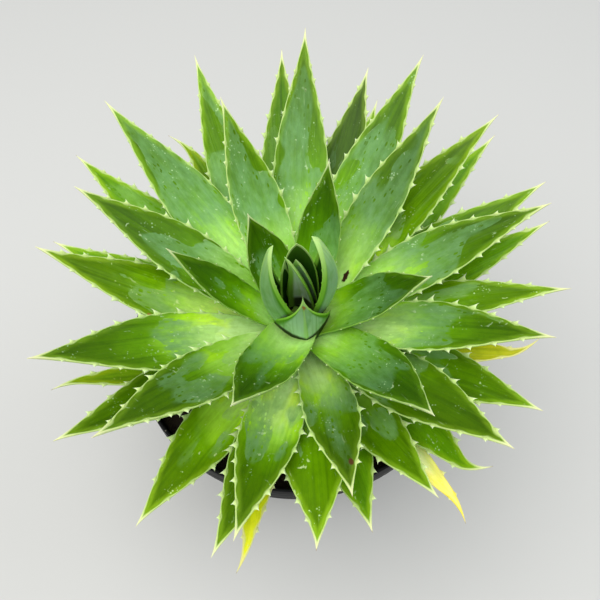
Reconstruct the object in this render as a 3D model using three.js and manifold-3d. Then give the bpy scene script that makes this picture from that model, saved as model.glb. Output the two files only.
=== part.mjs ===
// Potted aloe: a dense rosette of lance-shaped leaves on a short stem, in a round nursery pot.
// Millimetres, Z up. The pot's axis is the Z axis, its foot stands on Z = 0, and -Y is the front.
// Headings are degrees seen from above: 0 is right (+X), 90 is back (+Y), 180 left and 270 front.
import * as THREE from 'three';
import { mergeVertices } from 'three/addons/utils/BufferGeometryUtils.js';
import Module from 'manifold-3d';

const wasm = await Module();
wasm.setup();
const { Manifold, Mesh } = wasm;

// Driving dimensions
const POT_HEIGHT = 150;
const RIM_RADIUS = 85;
const FOOT_RADIUS = 50;
const POT_WALL = 1.8;
const COLLAR_HEIGHT = 16;
const COLLAR_STEP = 2.2;
const SOIL_BELOW_RIM = 12;
const SOIL_TOP = POT_HEIGHT - SOIL_BELOW_RIM;
const GAP = 0.3;

const DRAIN_HOLES = 6;
const DRAIN_RADIUS = 5;
const DRAIN_RING = 34;

// The crown is where the youngest full leaves leave the stem, a little off the pot's axis
const CROWN_X = 2;
const CROWN_Y = -3;
const CROWN_Z = POT_HEIGHT + 20;
const STEM_ROOT_DEPTH = 20;
const ROOT_RADIUS = 15;
const STEM_INSET = 0.5;

// Steps down the stem, from the bud to the oldest leaf: place in the spiral, radius, height from the crown
const STEM_STEPS = [
  [-7, 3, 5],
  [0, 13, 0],
  [8, 19, -7],
  [46, 25.5, -24],
];
const OLDEST = STEM_STEPS[STEM_STEPS.length - 1];

// Leaf shape, the same for every leaf: widths and thicknesses are shares of the leaf's own
const RINGS = 12;
const WIDEST_AT = 0.56;
const BASE_WIDTH = 0.56;
const INNER_BASE_WIDTH = 1.05;
const BUD_BASE_WIDTH = 1.25;
const BASE_WAIST = 2;
const THICKNESS_TO_WIDTH = 0.19;
const BASE_THICKNESS = 0.6;
const TIGHTEST_CUP = 9;
const ARCH = 8;

// Each leaf: name, place in the spiral from the youngest, heading, rise above the horizontal, length,
// widest width, and how many degrees its heading swings from base to tip
const LEAVES = [
  ['bud_heart', -6, 122, 88, 33, 6, 0],
  ['bud_left_inner', -5.6, 207, 87, 46, 9, 0],
  ['bud_right_front', -5, 345, 106, 44, 13, 0],
  ['bud_back', -3.5, 112, 86, 47, 11, 0],
  ['bud_left', -2.5, 182, 86, 56, 15, 0],
  ['bud_right', -2, 34, 91, 56, 18, 0],
  ['bud_front', -0.8, 276, 94, 32, 21, 0],
  ['inner_front_left', 0.3, 249, 42, 81, 26, 0],
  ['inner_back_left', 0.5, 130, 60, 50, 24, 0],
  ['inner_right', 2, 352, 50, 65, 25, -8],
  ['inner_back', 3, 76, 56, 69, 22, 3],
  ['inner_front_right', 4.5, 303, 41, 95, 27, -12],
  ['inner_left', 5, 173, 50, 67, 19, 0],
  ['second_back_right', 7, 49, 43, 112, 24, -2],
  ['second_front_left', 7, 231, 40, 121, 27, 7],
  ['second_back_left', 8, 115, 45, 101, 27, 2],
  ['second_right_front', 9, 338, 35, 108, 27, -11],
  ['second_front', 12, 281, 30, 92, 25, -5],
  ['second_left_back', 12, 161, 36, 109, 29, 6],
  ['second_back', 12.5, 60, 40, 127, 28, -6],
  ['second_left', 13.5, 206, 35, 117, 31, 6],
  ['second_right', 14.5, 13, 35, 114, 29, -10],
  ['second_front_tip', 17.5, 258, 28, 108, 27, 0],
  ['outer_front_right', 17, 316, 27, 105, 31, -6],
  ['outer_back', 19, 89, 37, 133, 29, -2],
  ['outer_left', 21, 175, 30, 113, 29, -2],
  ['outer_back_right', 21, 40, 33, 124, 26, -8],
  ['outer_back_left', 21, 137, 31, 130, 30, 4],
  ['outer_right', 22, 357, 26, 110, 23, -10],
  ['outer_front', 24, 272, 23, 101, 29, -4],
  ['outer_left_front', 26, 216, 22, 110, 28, 4],
  ['outer_back_narrow', 26.5, 74, 29, 124, 28, -2],
  ['outer_right_back', 29, 25, 24, 122, 29, -3],
  ['outer_far_left', 29, 113, 26, 139, 27, -4],
  ['outer_front_corner', 30, 301, 20, 91, 25, 0],
  ['outer_right_low', 30, 332, 18, 101, 30, -8],
  ['outer_front_blade', 31, 253, 17, 102, 26, -3],
  ['low_back_left', 35, 145, 19, 129, 28, 0],
  ['low_front', 36, 286, 13, 86, 27, -3],
  ['low_right', 36, 20, 17, 117, 24, 2],
  ['low_back', 37, 94, 21, 143, 28, -3],
  ['outer_front_wide', 38, 236, 13, 101, 28, 6],
  ['low_front_right', 40, 322, 14, 91, 24, 0],
  ['low_back_right', 40, 44, 17, 131, 24, -1],
  ['low_left', 43, 163, 15, 113, 26, 0],
  ['low_far_back', 44, 72, 15, 126, 23, 0],
  ['low_left_hooked', 45, 124, 16, 113, 25, 8],
  ['old_left_yellow', 43, 202, 17, 100, 22, 0],
  ['old_right_yellow', 43, 354, 10, 95, 23, 4],
  ['old_front_yellow', 44, 257, 8, 97, 20, 4],
  ['old_front_right_yellow', 46, 306, 9, 97, 19, -4],
].map(([name, place, heading, lift, length, width, swing]) => (
  { name, place, heading, lift, length, width, swing }
));

const radians = THREE.MathUtils.degToRad;
const clamp = THREE.MathUtils.clamp;
const lerp = THREE.MathUtils.lerp;

// Where a leaf leaves the stem, as a radius and a height from the crown
function baseOf(place) {
  const upper = STEM_STEPS.findLastIndex(([start]) => start <= place);
  const [from, to] = STEM_STEPS.slice(Math.min(upper, STEM_STEPS.length - 2));
  const share = (place - from[0]) / (to[0] - from[0]);
  return [lerp(from[1], to[1], share), lerp(from[2], to[2], share)];
}

// Share of the full width at a share v of the length, counted from the tip. The young leaves clasp
// the bud with a wide base, and the older ones narrow to fit between their neighbours.
function widthShare(v, place) {
  if (v < WIDEST_AT) {
    return Math.sin((Math.PI / 2) * Math.pow(v / WIDEST_AT, 1.3));
  }
  const base = place < 0 ? BUD_BASE_WIDTH : lerp(INNER_BASE_WIDTH, BASE_WIDTH, clamp(place / 8, 0, 1));
  return 1 - (1 - base) * Math.pow((v - WIDEST_AT) / (1 - WIDEST_AT), BASE_WAIST);
}

function thicknessShare(v) {
  const swell = 1 - Math.pow(1 - v, 3);
  const taper = clamp((v - WIDEST_AT) / (1 - WIDEST_AT), 0, 1);
  return swell * lerp(1, BASE_THICKNESS, taper);
}

// Points along the middle of a leaf: radius, height, heading and slope of each
function midrib(leaf, shares) {
  const { heading, lift, length, swing } = leaf;
  const steps = 60;
  const [startRadius, startHeight] = baseOf(leaf.place);
  return shares.map((share) => {
    let radius = startRadius;
    let height = startHeight;
    for (let i = 0; i < steps; i += 1) {
      const at = (share * (i + 0.5)) / steps;
      const slope = radians(lift + ARCH * (at - 0.5));
      radius += (Math.cos(slope) * length * share) / steps;
      height += (Math.sin(slope) * length * share) / steps;
    }
    const slope = radians(lift + ARCH * (share - 0.5));
    return { radius, height, slope, heading: radians(heading + swing * (share - 1)) };
  });
}

// One ring of a leaf: five points over the upper face from edge to edge, then three round the keel
function leafRing(at, halfWidth, thickness) {
  const cup = Math.max(at.radius, TIGHTEST_CUP);
  const place = (across, depth) => {
    const turn = (across * halfWidth) / cup;
    const out = at.radius + cup * (Math.cos(turn) - 1);
    const side = cup * Math.sin(turn);
    const sink = depth * thickness;
    const push = sink * Math.sin(at.slope);
    const radial = out + push * Math.cos(turn);
    const tangent = side + push * Math.sin(turn);
    return new THREE.Vector3(
      radial * Math.cos(at.heading) - tangent * Math.sin(at.heading),
      radial * Math.sin(at.heading) + tangent * Math.cos(at.heading),
      at.height - sink * Math.cos(at.slope),
    );
  };
  const upper = [1, 0.5, 0, -0.5, -1].map((across) => place(across, 0));
  const lower = [[-0.58, 0.78], [0, 1], [0.58, 0.78]].map(([across, depth]) => place(across, depth));
  return [...upper, ...lower];
}

// The base is closed by a strip between the five upper points and the three lower ones of its ring
const BASE_CAP = [0, 7, 1, 1, 7, 2, 2, 7, 6, 2, 6, 3, 3, 6, 5, 3, 5, 4];

// Triangles of a closed skin over rings that run from the base to the tip point
function skin(rings, tip) {
  const around = rings[0].length;
  const points = [...rings.flat(), tip];
  const faces = [...BASE_CAP];
  for (let i = 0; i < rings.length - 1; i += 1) {
    for (let k = 0; k < around; k += 1) {
      const a = i * around + k;
      const b = i * around + ((k + 1) % around);
      faces.push(a, b, a + around);
      faces.push(b, b + around, a + around);
    }
  }
  const last = (rings.length - 1) * around;
  for (let k = 0; k < around; k += 1) {
    faces.push(last + k, last + ((k + 1) % around), points.length - 1);
  }
  const geometry = new THREE.BufferGeometry().setFromPoints(points);
  geometry.setIndex(faces);
  return geometry;
}

function leafGeometry(leaf) {
  const { place, width } = leaf;
  const shares = [];
  for (let i = 0; i < RINGS; i += 1) {
    shares.push(1 - Math.pow(1 - i / RINGS, 1.4));
  }
  const rings = midrib(leaf, shares).map((at, i) => {
    const v = 1 - shares[i];
    const thickness = width * THICKNESS_TO_WIDTH * thicknessShare(v);
    return leafRing(at, (width / 2) * widthShare(v, place), thickness);
  });
  const [end] = midrib(leaf, [1]);
  const tip = new THREE.Vector3(
    end.radius * Math.cos(end.heading),
    end.radius * Math.sin(end.heading),
    end.height,
  );
  return skin(rings, tip);
}

// A closed solid turned about the Z axis, from radius and height points that run up its outside
function turned(profile, sides) {
  const points = profile.map(([radius, height]) => new THREE.Vector2(radius, height));
  return new THREE.LatheGeometry(points, sides).rotateX(Math.PI / 2);
}

// The root end of the stem, which the soil's socket follows: radius and height from the crown
function rootProfile(margin) {
  const foot = SOIL_TOP - STEM_ROOT_DEPTH - CROWN_Z;
  return [
    [0, foot - margin],
    [ROOT_RADIUS + margin, foot - margin],
    [OLDEST[1] - 2.4 + margin, SOIL_TOP - CROWN_Z + 4],
  ];
}

// The stem up to the crown, kept just inside the leaf bases
function stemGeometry() {
  const bases = STEM_STEPS.map(([, radius, height]) => [radius - STEM_INSET, height - STEM_INSET]);
  const top = [0, bases[0][1]];
  return turned([...rootProfile(0), ...bases.reverse(), top], 32);
}

function potOuterRadius(height) {
  return lerp(FOOT_RADIUS, RIM_RADIUS - COLLAR_STEP, height / (POT_HEIGHT - COLLAR_HEIGHT));
}

function potProfile() {
  const shoulder = POT_HEIGHT - COLLAR_HEIGHT;
  const neck = potOuterRadius(shoulder);
  const rimInside = RIM_RADIUS - POT_WALL;
  return [
    [0, 0],
    [FOOT_RADIUS - 2, 0],
    [FOOT_RADIUS, 2],
    [neck, shoulder],
    [RIM_RADIUS - 0.6, shoulder + 0.6],
    [RIM_RADIUS, POT_HEIGHT - 1],
    [RIM_RADIUS - 0.6, POT_HEIGHT],
    [rimInside + 0.4, POT_HEIGHT],
    [rimInside, POT_HEIGHT - 1],
    [rimInside - 0.6, shoulder + 2],
    [neck - POT_WALL, shoulder - 1],
    [potOuterRadius(POT_WALL) - POT_WALL, POT_WALL],
    [0, POT_WALL],
  ];
}

function solidOf(geometry) {
  const bare = new THREE.BufferGeometry();
  bare.setAttribute('position', geometry.getAttribute('position'));
  bare.setIndex(geometry.index);
  const merged = mergeVertices(bare, 1e-3);
  const mesh = new Mesh({
    numProp: 3,
    vertProperties: new Float32Array(merged.getAttribute('position').array),
    triVerts: new Uint32Array(merged.index.array),
  });
  return new Manifold(mesh);
}

function geometryOf(solid) {
  const mesh = solid.getMesh();
  const geometry = new THREE.BufferGeometry();
  geometry.setAttribute('position', new THREE.BufferAttribute(new Float32Array(mesh.vertProperties), 3));
  geometry.setIndex(new THREE.BufferAttribute(new Uint32Array(mesh.triVerts), 1));
  return geometry;
}

function potGeometry() {
  const shell = solidOf(turned(potProfile(), 64));
  const holes = [];
  for (let i = 0; i < DRAIN_HOLES; i += 1) {
    const turn = (i * 2 * Math.PI) / DRAIN_HOLES;
    const hole = Manifold.cylinder(POT_WALL + 4, DRAIN_RADIUS, DRAIN_RADIUS, 20);
    holes.push(hole.translate([DRAIN_RING * Math.cos(turn), DRAIN_RING * Math.sin(turn), -2]));
  }
  return geometryOf(shell.subtract(Manifold.union(holes)));
}

// Potting mix that fills the pot, slightly heaped, with a socket that the stem goes down into
function soilGeometry() {
  const wallAt = (height) => potOuterRadius(height) - POT_WALL - GAP;
  const shoulder = POT_HEIGHT - COLLAR_HEIGHT;
  const edge = RIM_RADIUS - POT_WALL - 1.4;
  const mix = solidOf(turned([
    [0, POT_WALL + GAP],
    [wallAt(POT_WALL) - 0.5, POT_WALL + GAP],
    [wallAt(shoulder - 2) - 0.3, shoulder - 2],
    [edge, shoulder + 2.5],
    [edge, SOIL_TOP - 1],
    [edge - 8, SOIL_TOP],
    [0, SOIL_TOP + 1.5],
  ], 64));
  const [[, low], ...rest] = rootProfile(GAP);
  const mouth = rest[rest.length - 1];
  const socket = solidOf(turned([[0, low], ...rest, [0, mouth[1]]], 32));
  return geometryOf(mix.subtract(socket.translate([CROWN_X, CROWN_Y, CROWN_Z])));
}

function material(color, roughness) {
  return new THREE.MeshStandardMaterial({ color, roughness, metalness: 0 });
}

const POT_PLASTIC = material('#17191b', 0.55);
const POTTING_MIX = material('#2c221b', 0.95);
const STEM_FLESH = material('#b9c48a', 0.7);
const BUD_GREEN = material('#3f7d45', 0.45);
const LEAF_GREEN = material('#5f9a37', 0.5);
const OLD_GREEN = material('#8fae3d', 0.55);
const YELLOW = material('#e2c63a', 0.6);

function leafMaterial({ name, place }) {
  if (name.endsWith('yellow')) {
    return YELLOW;
  }
  if (place < 6) {
    return BUD_GREEN;
  }
  return place < 33 ? LEAF_GREEN : OLD_GREEN;
}

function piece(name, geometry, finish) {
  const mesh = new THREE.Mesh(geometry, finish);
  mesh.name = name;
  return mesh;
}

const plant = new THREE.Group();
plant.position.set(CROWN_X, CROWN_Y, CROWN_Z);
plant.add(piece('stem', stemGeometry(), STEM_FLESH));
for (const leaf of LEAVES) {
  plant.add(piece(`leaf_${leaf.name}`, leafGeometry(leaf), leafMaterial(leaf)));
}

const aloe = new THREE.Group();
aloe.add(piece('pot', potGeometry(), POT_PLASTIC));
aloe.add(piece('soil', soilGeometry(), POTTING_MIX));
aloe.add(plant);

export default aloe;
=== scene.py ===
# %% [markdown]
# # A potted aloe
#
# A dense rosette of toothed leaves in a black nursery pot. The frame already holds a plain closed solid for
# every leaf, the stem, the soil and the pot, each at its real size and place, in metres with Z up. This
# lesson grows a fine leaf over each plain one, and gives every surface its finish.

# %% Load the frame
import math
import random

import bmesh
import bpy
import numpy as np
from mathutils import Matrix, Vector, noise


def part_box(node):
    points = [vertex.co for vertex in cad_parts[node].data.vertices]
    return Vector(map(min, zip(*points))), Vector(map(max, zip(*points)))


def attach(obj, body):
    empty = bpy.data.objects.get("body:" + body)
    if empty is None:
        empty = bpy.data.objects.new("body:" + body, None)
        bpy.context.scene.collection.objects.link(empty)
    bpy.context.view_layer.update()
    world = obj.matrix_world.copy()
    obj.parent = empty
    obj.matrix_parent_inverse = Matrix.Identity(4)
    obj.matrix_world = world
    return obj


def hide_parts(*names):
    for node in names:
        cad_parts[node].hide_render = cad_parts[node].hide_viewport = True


MM = 0.001
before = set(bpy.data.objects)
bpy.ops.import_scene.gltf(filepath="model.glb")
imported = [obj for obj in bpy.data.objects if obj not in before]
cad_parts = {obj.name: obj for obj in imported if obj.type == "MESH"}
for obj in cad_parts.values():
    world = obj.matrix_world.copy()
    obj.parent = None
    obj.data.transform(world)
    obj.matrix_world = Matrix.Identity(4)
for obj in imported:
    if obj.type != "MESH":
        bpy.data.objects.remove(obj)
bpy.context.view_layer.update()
leaf_names = sorted(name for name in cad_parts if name.startswith("leaf_"))
print("leaves in the frame:", len(leaf_names))

# %% [markdown]
# ## Camera
#
# The plant is seen from the front, looking down at sixty degrees, from not quite half a metre away. A
# camera with a fifty degree view gives the strong perspective of a photo taken that near: the young leaves
# that stand up in the middle look long, and the pot all but disappears under the rosette.

# %% Camera
LOOK_DOWN = 60
VIEW_ANGLE = 50
EYE = Vector((1.5, -156.0, 448.9)) * MM
NEAREST_SEEN = 10 * MM

camera_data = bpy.data.cameras.new("camera")
camera_data.angle = math.radians(VIEW_ANGLE)
camera_data.clip_start = NEAREST_SEEN
camera = bpy.data.objects.new("camera", camera_data)
camera.location = EYE
camera.rotation_euler = (math.radians(90 - LOOK_DOWN), 0, 0)
bpy.context.scene.collection.objects.link(camera)
bpy.context.scene.camera = camera
print("camera height in mm:", round(EYE.z / MM))

# %% [markdown]
# ## The lines of a leaf
#
# A leaf could be modelled freely by hand, but then it would drift away from the solid it stands for. So its
# form is read from that solid. The plain leaf is a stack of rings of eight points that ends in one tip
# point. Walking from point to point over the mesh, away from the tip, meets the rings one after another.
# Each ring then gives four points: the left edge, the right edge, the middle of the upper face, and the
# keel below it.

# %% Read the rings of a plain leaf
RING_POINTS = 8
CROWN = np.array((2, -3, 170)) * MM


def points_and_neighbours(node):
    """The separate points of a CAD solid, and the points that share a face with each."""
    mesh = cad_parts[node].data
    found = {}
    points = []
    place = []
    for vertex in mesh.vertices:
        key = tuple(round(c, 6) for c in vertex.co)
        if key not in found:
            found[key] = len(points)
            points.append(vertex.co.copy())
        place.append(found[key])
    near = [set() for _ in points]
    for face in mesh.polygons:
        corners = [place[v] for v in face.vertices]
        for corner in corners:
            near[corner].update(corners)
    return np.array(points), near


def rings_from(tip, near):
    """Sets of points that lie one, two, three and more steps from the tip."""
    seen = {tip}
    level = {tip}
    rings = []
    while level:
        level = set().union(*(near[i] for i in level)) - seen
        seen |= level
        if level:
            rings.append(sorted(level))
    return rings


def leaf_rings(node):
    """The rings of a plain leaf, from its base to its tip, and the tip point."""
    points, near = points_and_neighbours(node)
    for tip in range(len(points)):
        if len(near[tip]) != RING_POINTS + 1:
            continue
        rings = rings_from(tip, near)
        if all(len(ring) == RING_POINTS for ring in rings):
            return [points[ring] for ring in reversed(rings)], points[tip]
    raise ValueError(node + " has no rings")


rings, tip = leaf_rings(leaf_names[0])
print(leaf_names[0], "has", len(rings), "rings")

# %% [markdown]
# The edges of a ring are its two points farthest apart, and the middle points lie halfway between them.
# Which one is the keel follows from how a leaf grows: its underside always faces down and away from the
# crown. The plain leaf ends where it meets the stem. A real one clasps it, so the lines are carried on a
# little way into the stem.

# %% The four lines of a leaf
CLASP = 7 * MM


def unit(v):
    """Vectors of the same direction, one long."""
    return v / np.maximum(np.linalg.norm(v, axis=-1, keepdims=True), 1e-12)


def ring_lines(ring, along):
    """Left edge, right edge, upper middle and keel of one ring, seen from above with the tip ahead."""
    apart = np.linalg.norm(ring[:, None] - ring[None], axis=2)
    left, right = np.unravel_index(np.argmax(apart), apart.shape)
    across = ring[right] - ring[left]
    share = (ring - ring[left]) @ across / (across @ across)
    middle = np.argsort(np.abs(share - 0.5))[:2]
    outward = ring.mean(axis=0) - CROWN
    outward[2] = 0
    outward = unit(outward)
    under = outward * along[2] - np.array([0, 0, 1]) * (along @ outward)
    upper, keel = sorted(middle, key=lambda i: ring[i] @ under)
    if np.cross(across, along) @ under > 0:
        left, right = right, left
    return ring[left], ring[right], ring[upper], ring[keel]


def leaf_lines(node):
    """Distances along a leaf, and its left edge, right edge, upper middle and keel at each."""
    rings, tip = leaf_rings(node)
    centres = np.array([ring.mean(axis=0) for ring in rings] + [tip])
    steps = np.linalg.norm(np.diff(centres, axis=0), axis=1)
    distance = np.concatenate([[0], np.cumsum(steps)])
    along = unit(np.gradient(centres, distance, axis=0))
    lines = [ring_lines(ring, way) for ring, way in zip(rings, along)]
    lines.append((tip, tip, tip, tip))
    lines = np.array(lines).transpose(1, 0, 2)
    root = lines[:, :1] - along[0] * CLASP
    return np.concatenate([[-CLASP], distance]), np.concatenate([root, lines], axis=1)


def smooth(at, values, wanted):
    """A smooth curve through values at given places, read at the wanted places."""
    slope = np.gradient(values, at, axis=0)
    i = np.clip(np.searchsorted(at, wanted, side="right") - 1, 0, len(at) - 2)
    width = (at[i + 1] - at[i])[:, None]
    t = (wanted - at[i])[:, None] / width
    start = (1 + 2 * t) * (1 - t) ** 2 * values[i] + t * (1 - t) ** 2 * width * slope[i]
    end = t * t * (3 - 2 * t) * values[i + 1] - t * t * (1 - t) * width * slope[i + 1]
    return start + end


def ease(value, low, high):
    """0 up to low, 1 from high on, and an even curve between. High may lie below low."""
    t = np.clip((value - low) / (high - low), 0, 1)
    return t * t * (3 - 2 * t)


distance, lines = leaf_lines("leaf_outer_left")
print("leaf_outer_left is", round(distance[-1] / MM, 1), "mm long")

# %% [markdown]
# ## The bud
#
# The seven youngest leaves stand upright around the growing point. They are three-sided and widest where
# they leave the stem, and the innermost ones lean over each other. The frame has plain stand-ins for them
# that are too slim, so their lines are drawn anew here. The foot of each is a distance out and up from the
# crown. It has a heading from above, a rise and an arch, and it winds a little about the bud from its base
# to its tip. Flare says how suddenly it widens towards its base, keel how far its back stands out, and cup
# is the radius of its hollow.

# %% Lines of the bud leaves
BUD_RINGS = 13
KEEL_FADE = 0.7
BUD_LEAVES = {
    "leaf_bud_front": {"foot": (14.2, 0), "heading": 272.6, "rise": 92, "arch": 4, "length": 40, "width": 41,
                       "wind": -8, "flare": 2.0, "keel": 1.2, "cup": 14.5},
    "leaf_bud_left": {"foot": (9.5, 1), "heading": 183.5, "rise": 86, "arch": 46, "length": 61, "width": 30,
                      "wind": -26, "flare": 0.85, "keel": 2.2, "cup": 9},
    "leaf_bud_right": {"foot": (9, 1), "heading": 3, "rise": 92, "arch": 54, "length": 67, "width": 31,
                       "wind": -8, "flare": 0.85, "keel": 2.2, "cup": 9},
    "leaf_bud_back": {"foot": (10, 3), "heading": 101, "rise": 89, "arch": 8, "length": 43, "width": 30,
                      "wind": 6, "flare": 0.8, "keel": 2.0, "cup": 9},
    "leaf_bud_right_front": {"foot": (5, 4), "heading": 43, "rise": 104, "arch": 8, "length": 58, "width": 16,
                             "wind": -29, "flare": 1.1, "keel": 1.6, "cup": 9},
    "leaf_bud_heart": {"foot": (8, 4), "heading": 48, "rise": 103, "arch": 8, "length": 50, "width": 20,
                       "wind": -28, "flare": 0.9, "keel": 1.4, "cup": 9},
    "leaf_bud_left_inner": {"foot": (8, 4), "heading": 136, "rise": 86, "arch": 8, "length": 34, "width": 12,
                            "wind": -20, "flare": 1.1, "keel": 1.2, "cup": 9},
}


def bud_lines(foot, heading, rise, arch, length, width, wind, flare, keel, cup):
    """The same four lines as leaf_lines gives, for an upright leaf that is widest at its base."""
    share = np.linspace(0, 1, BUD_RINGS)
    slope = np.radians(rise + arch * (share - 0.5))
    step = length / (BUD_RINGS - 1)
    out = foot[0] + np.concatenate([[0], np.cumsum(np.cos(slope[1:]) * step)])
    high = foot[1] + np.concatenate([[0], np.cumsum(np.sin(slope[1:]) * step)])
    head = np.radians(heading + wind * (share - 1))
    half = width / 2 * np.sin(math.pi / 2 * (1 - share) ** flare)

    def place(side, depth):
        turn = side * half / cup
        sink = depth * keel * (half / half[0]) ** KEEL_FADE
        radial = out + cup * (np.cos(turn) - 1) + sink * np.sin(slope)
        tangent = cup * np.sin(turn)
        x = radial * np.cos(head) - tangent * np.sin(head)
        y = radial * np.sin(head) + tangent * np.cos(head)
        return CROWN + np.stack([x, y, high - sink * np.cos(slope)], axis=1) * MM

    lines = np.array([place(1, 0), place(-1, 0), place(0, 0), place(0, 1)])
    root = 2 * lines[:, :1] - lines[:, 1:2]
    distance = np.concatenate([[-step], share * length]) * MM
    return distance, np.concatenate([root, lines], axis=1)


def lines_of(node):
    """Distances along any leaf, and its four lines at each."""
    return bud_lines(**BUD_LEAVES[node]) if node in BUD_LEAVES else leaf_lines(node)


print("bud leaves drawn anew:", len(BUD_LEAVES))

# %% [markdown]
# ## Bends
#
# Strong leaves are straight. The tired ones at the bottom have begun to shrink, twist and hook. For these,
# the lines are moved before the leaf is built: sideways and upwards by an amount that grows towards the
# tip, and once more sideways over the last stretch, which makes the hook. The slim factor says what share
# of the width is left, and over 1 it makes a leaf wider.

# %% Bent and withered leaves
HOOK_FROM = 0.84
SLIM_BY = 0.35
STRAIGHT = {"side": 0, "rise": 0, "hook": 0, "slim": 1}
BENT_LEAVES = {
    "leaf_old_left_yellow": {"side": 5, "rise": 3, "hook": -4, "slim": 0.72},
    "leaf_old_right_yellow": {"side": 7, "rise": 2, "hook": -9, "slim": 0.80},
    "leaf_old_front_yellow": {"side": -3, "rise": 0, "hook": 3, "slim": 0.80},
    "leaf_old_front_right_yellow": {"side": -4, "rise": 0, "hook": 4.5, "slim": 0.82},
    "leaf_low_front_right": {"side": 19, "rise": 0, "hook": -11, "slim": 1.05},
    "leaf_outer_front": {"side": -2.5, "rise": 0, "hook": 1, "slim": 1.12},
    "leaf_low_left_hooked": {"side": 5, "rise": 2, "hook": -6, "slim": 0.85},
}


def bend(share, left, right, lines, side, rise, hook, slim):
    """The lines of a leaf after its bend and its change of width."""
    across = unit((right - left)[0])
    last_stretch = np.clip((share - HOOK_FROM) / (1 - HOOK_FROM), 0, 1)
    sideways = side * share ** 2 + hook * last_stretch ** 2
    shift = (sideways[:, None] * across + (rise * share ** 2)[:, None] * np.array([0, 0, 1])) * MM
    middle = (left + right) / 2
    keep = (1 - (1 - slim) * ease(share, 0.0, SLIM_BY))[:, None]
    return [middle + (line - middle) * keep + shift for line in lines]


print("bent leaves:", len(BENT_LEAVES))

# %% [markdown]
# ## The fine leaf
#
# An aloe leaf is a thick blade. Its upper face is nearly flat, its underside is rounded with a keel, and
# both meet in a hard pale edge less than a millimetre thick. A plain tube of rings would lose that edge, so
# the points of each section are crowded where the edge is. The blade itself isn't smooth: it has shallow
# folds that run lengthwise, which is what makes the light on it break up in long streaks.

# %% Section of a leaf
EDGE_RADIUS = 0.42 * MM
EDGE_STEPS = (0, 0.15, 0.5, 1.0, 1.8)
FACE_STEPS = (0.86, 0.68, 0.46, 0.23, 0)
FOLD_WAVES = (2.3, 4.4, 7.6, 11.5)
FOLD_DRIFT = 0.012
FOLD_FADE = 0.12
FOLD_SUM = 2.2


def section_shares(edge):
    """Places across a section from edge to edge, -1 to 1, crowded at the edges."""
    outer = [1 - edge * step for step in EDGE_STEPS]
    inner = [outer[-1] * step for step in FACE_STEPS]
    half = outer + inner
    return np.array([-a for a in half[:-1]] + half[::-1])


def fold_lift(a, at, phases):
    """Height of the lengthwise folds at places a across the leaf, between about -1 and 1."""
    heights = 0
    for wave, phase in zip(FOLD_WAVES, phases):
        heights = heights + np.sin(a * wave + phase + FOLD_DRIFT * at / MM) / (1 + FOLD_FADE * wave)
    return heights / FOLD_SUM


print("points across a section:", len(section_shares(0.1)))

# %% [markdown]
# The plain solid has only a few rings. Its lines are read again at many more stations, which stand a little
# closer together towards the tip, and the bend of the leaf is put in on the way. The last station stops
# just short of the tip point, so that the end of the spine keeps a small face of its own.

# %% Stations along a leaf
STATIONS = 92
TIP_CROWDING = 0.92
LAST_STATION = 0.9965


def station_lines(node):
    """The lines of a leaf at each station, with its half width, its depth and its upward direction."""
    known, known_lines = lines_of(node)
    length = known[-1]
    root = known[0]
    way = np.linspace(0, 1, STATIONS) ** TIP_CROWDING
    at = root + (length - root) * way
    at[-1] = length * LAST_STATION
    share = np.clip(at / length, 0, 1)
    left, right, upper, keel = (smooth(known, line, at) for line in known_lines)
    bends = BENT_LEAVES.get(node, STRAIGHT)
    left, right, upper, keel = bend(share, left, right, (left, right, upper, keel), **bends)
    middle = (left + right) / 2
    half = (right - left) / 2
    along = unit(np.gradient(middle, at, axis=0))
    return {
        "length": length,
        "at": at,
        "tip_gap": length - at,
        "share": share,
        "left": left,
        "right": right,
        "middle": middle,
        "half": half,
        "width": np.linalg.norm(half, axis=1),
        "upper": upper,
        "depth": keel - upper,
        "up": unit(np.cross(unit(half), along)),
    }


print("half width at the middle of leaf_outer_left in mm:",
      round(float(station_lines("leaf_outer_left")["width"][STATIONS // 2] / MM), 1))

# %% [markdown]
# Each station gets one ring of points. The upper face is hollow like a shallow channel, dips a little
# inside the hard edge, and carries the folds. The underside bulges to its keel. Folds, dip and keel fade
# out before the tip, where the leaf draws together into a spine, and the folds also fade out at the base
# and where it is narrow.

# %% Rings of a fine leaf
TIP_RADIUS = 0.10 * MM
RADIUS_GROWTH = 0.055
WIDEST_EDGE = 0.3
RIM_WIDTH = 3.2
EDGE_DIP = 0.25 * MM
DIP_END = 12 * MM
CHANNEL = 1.5
KEEL_ROUNDNESS = 2.8
KEEL_HEIGHT = 0.35 * MM
KEEL_WIDTH = 0.10
KEEL_END = (3 * MM, 30 * MM)
FOLD_HEIGHT = 0.34 * MM
FOLDS_BEGIN = (-5 * MM, 20 * MM)
FOLDS_END = (3 * MM, 20 * MM)
FULL_FOLDS_WIDTH = 8 * MM


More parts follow.
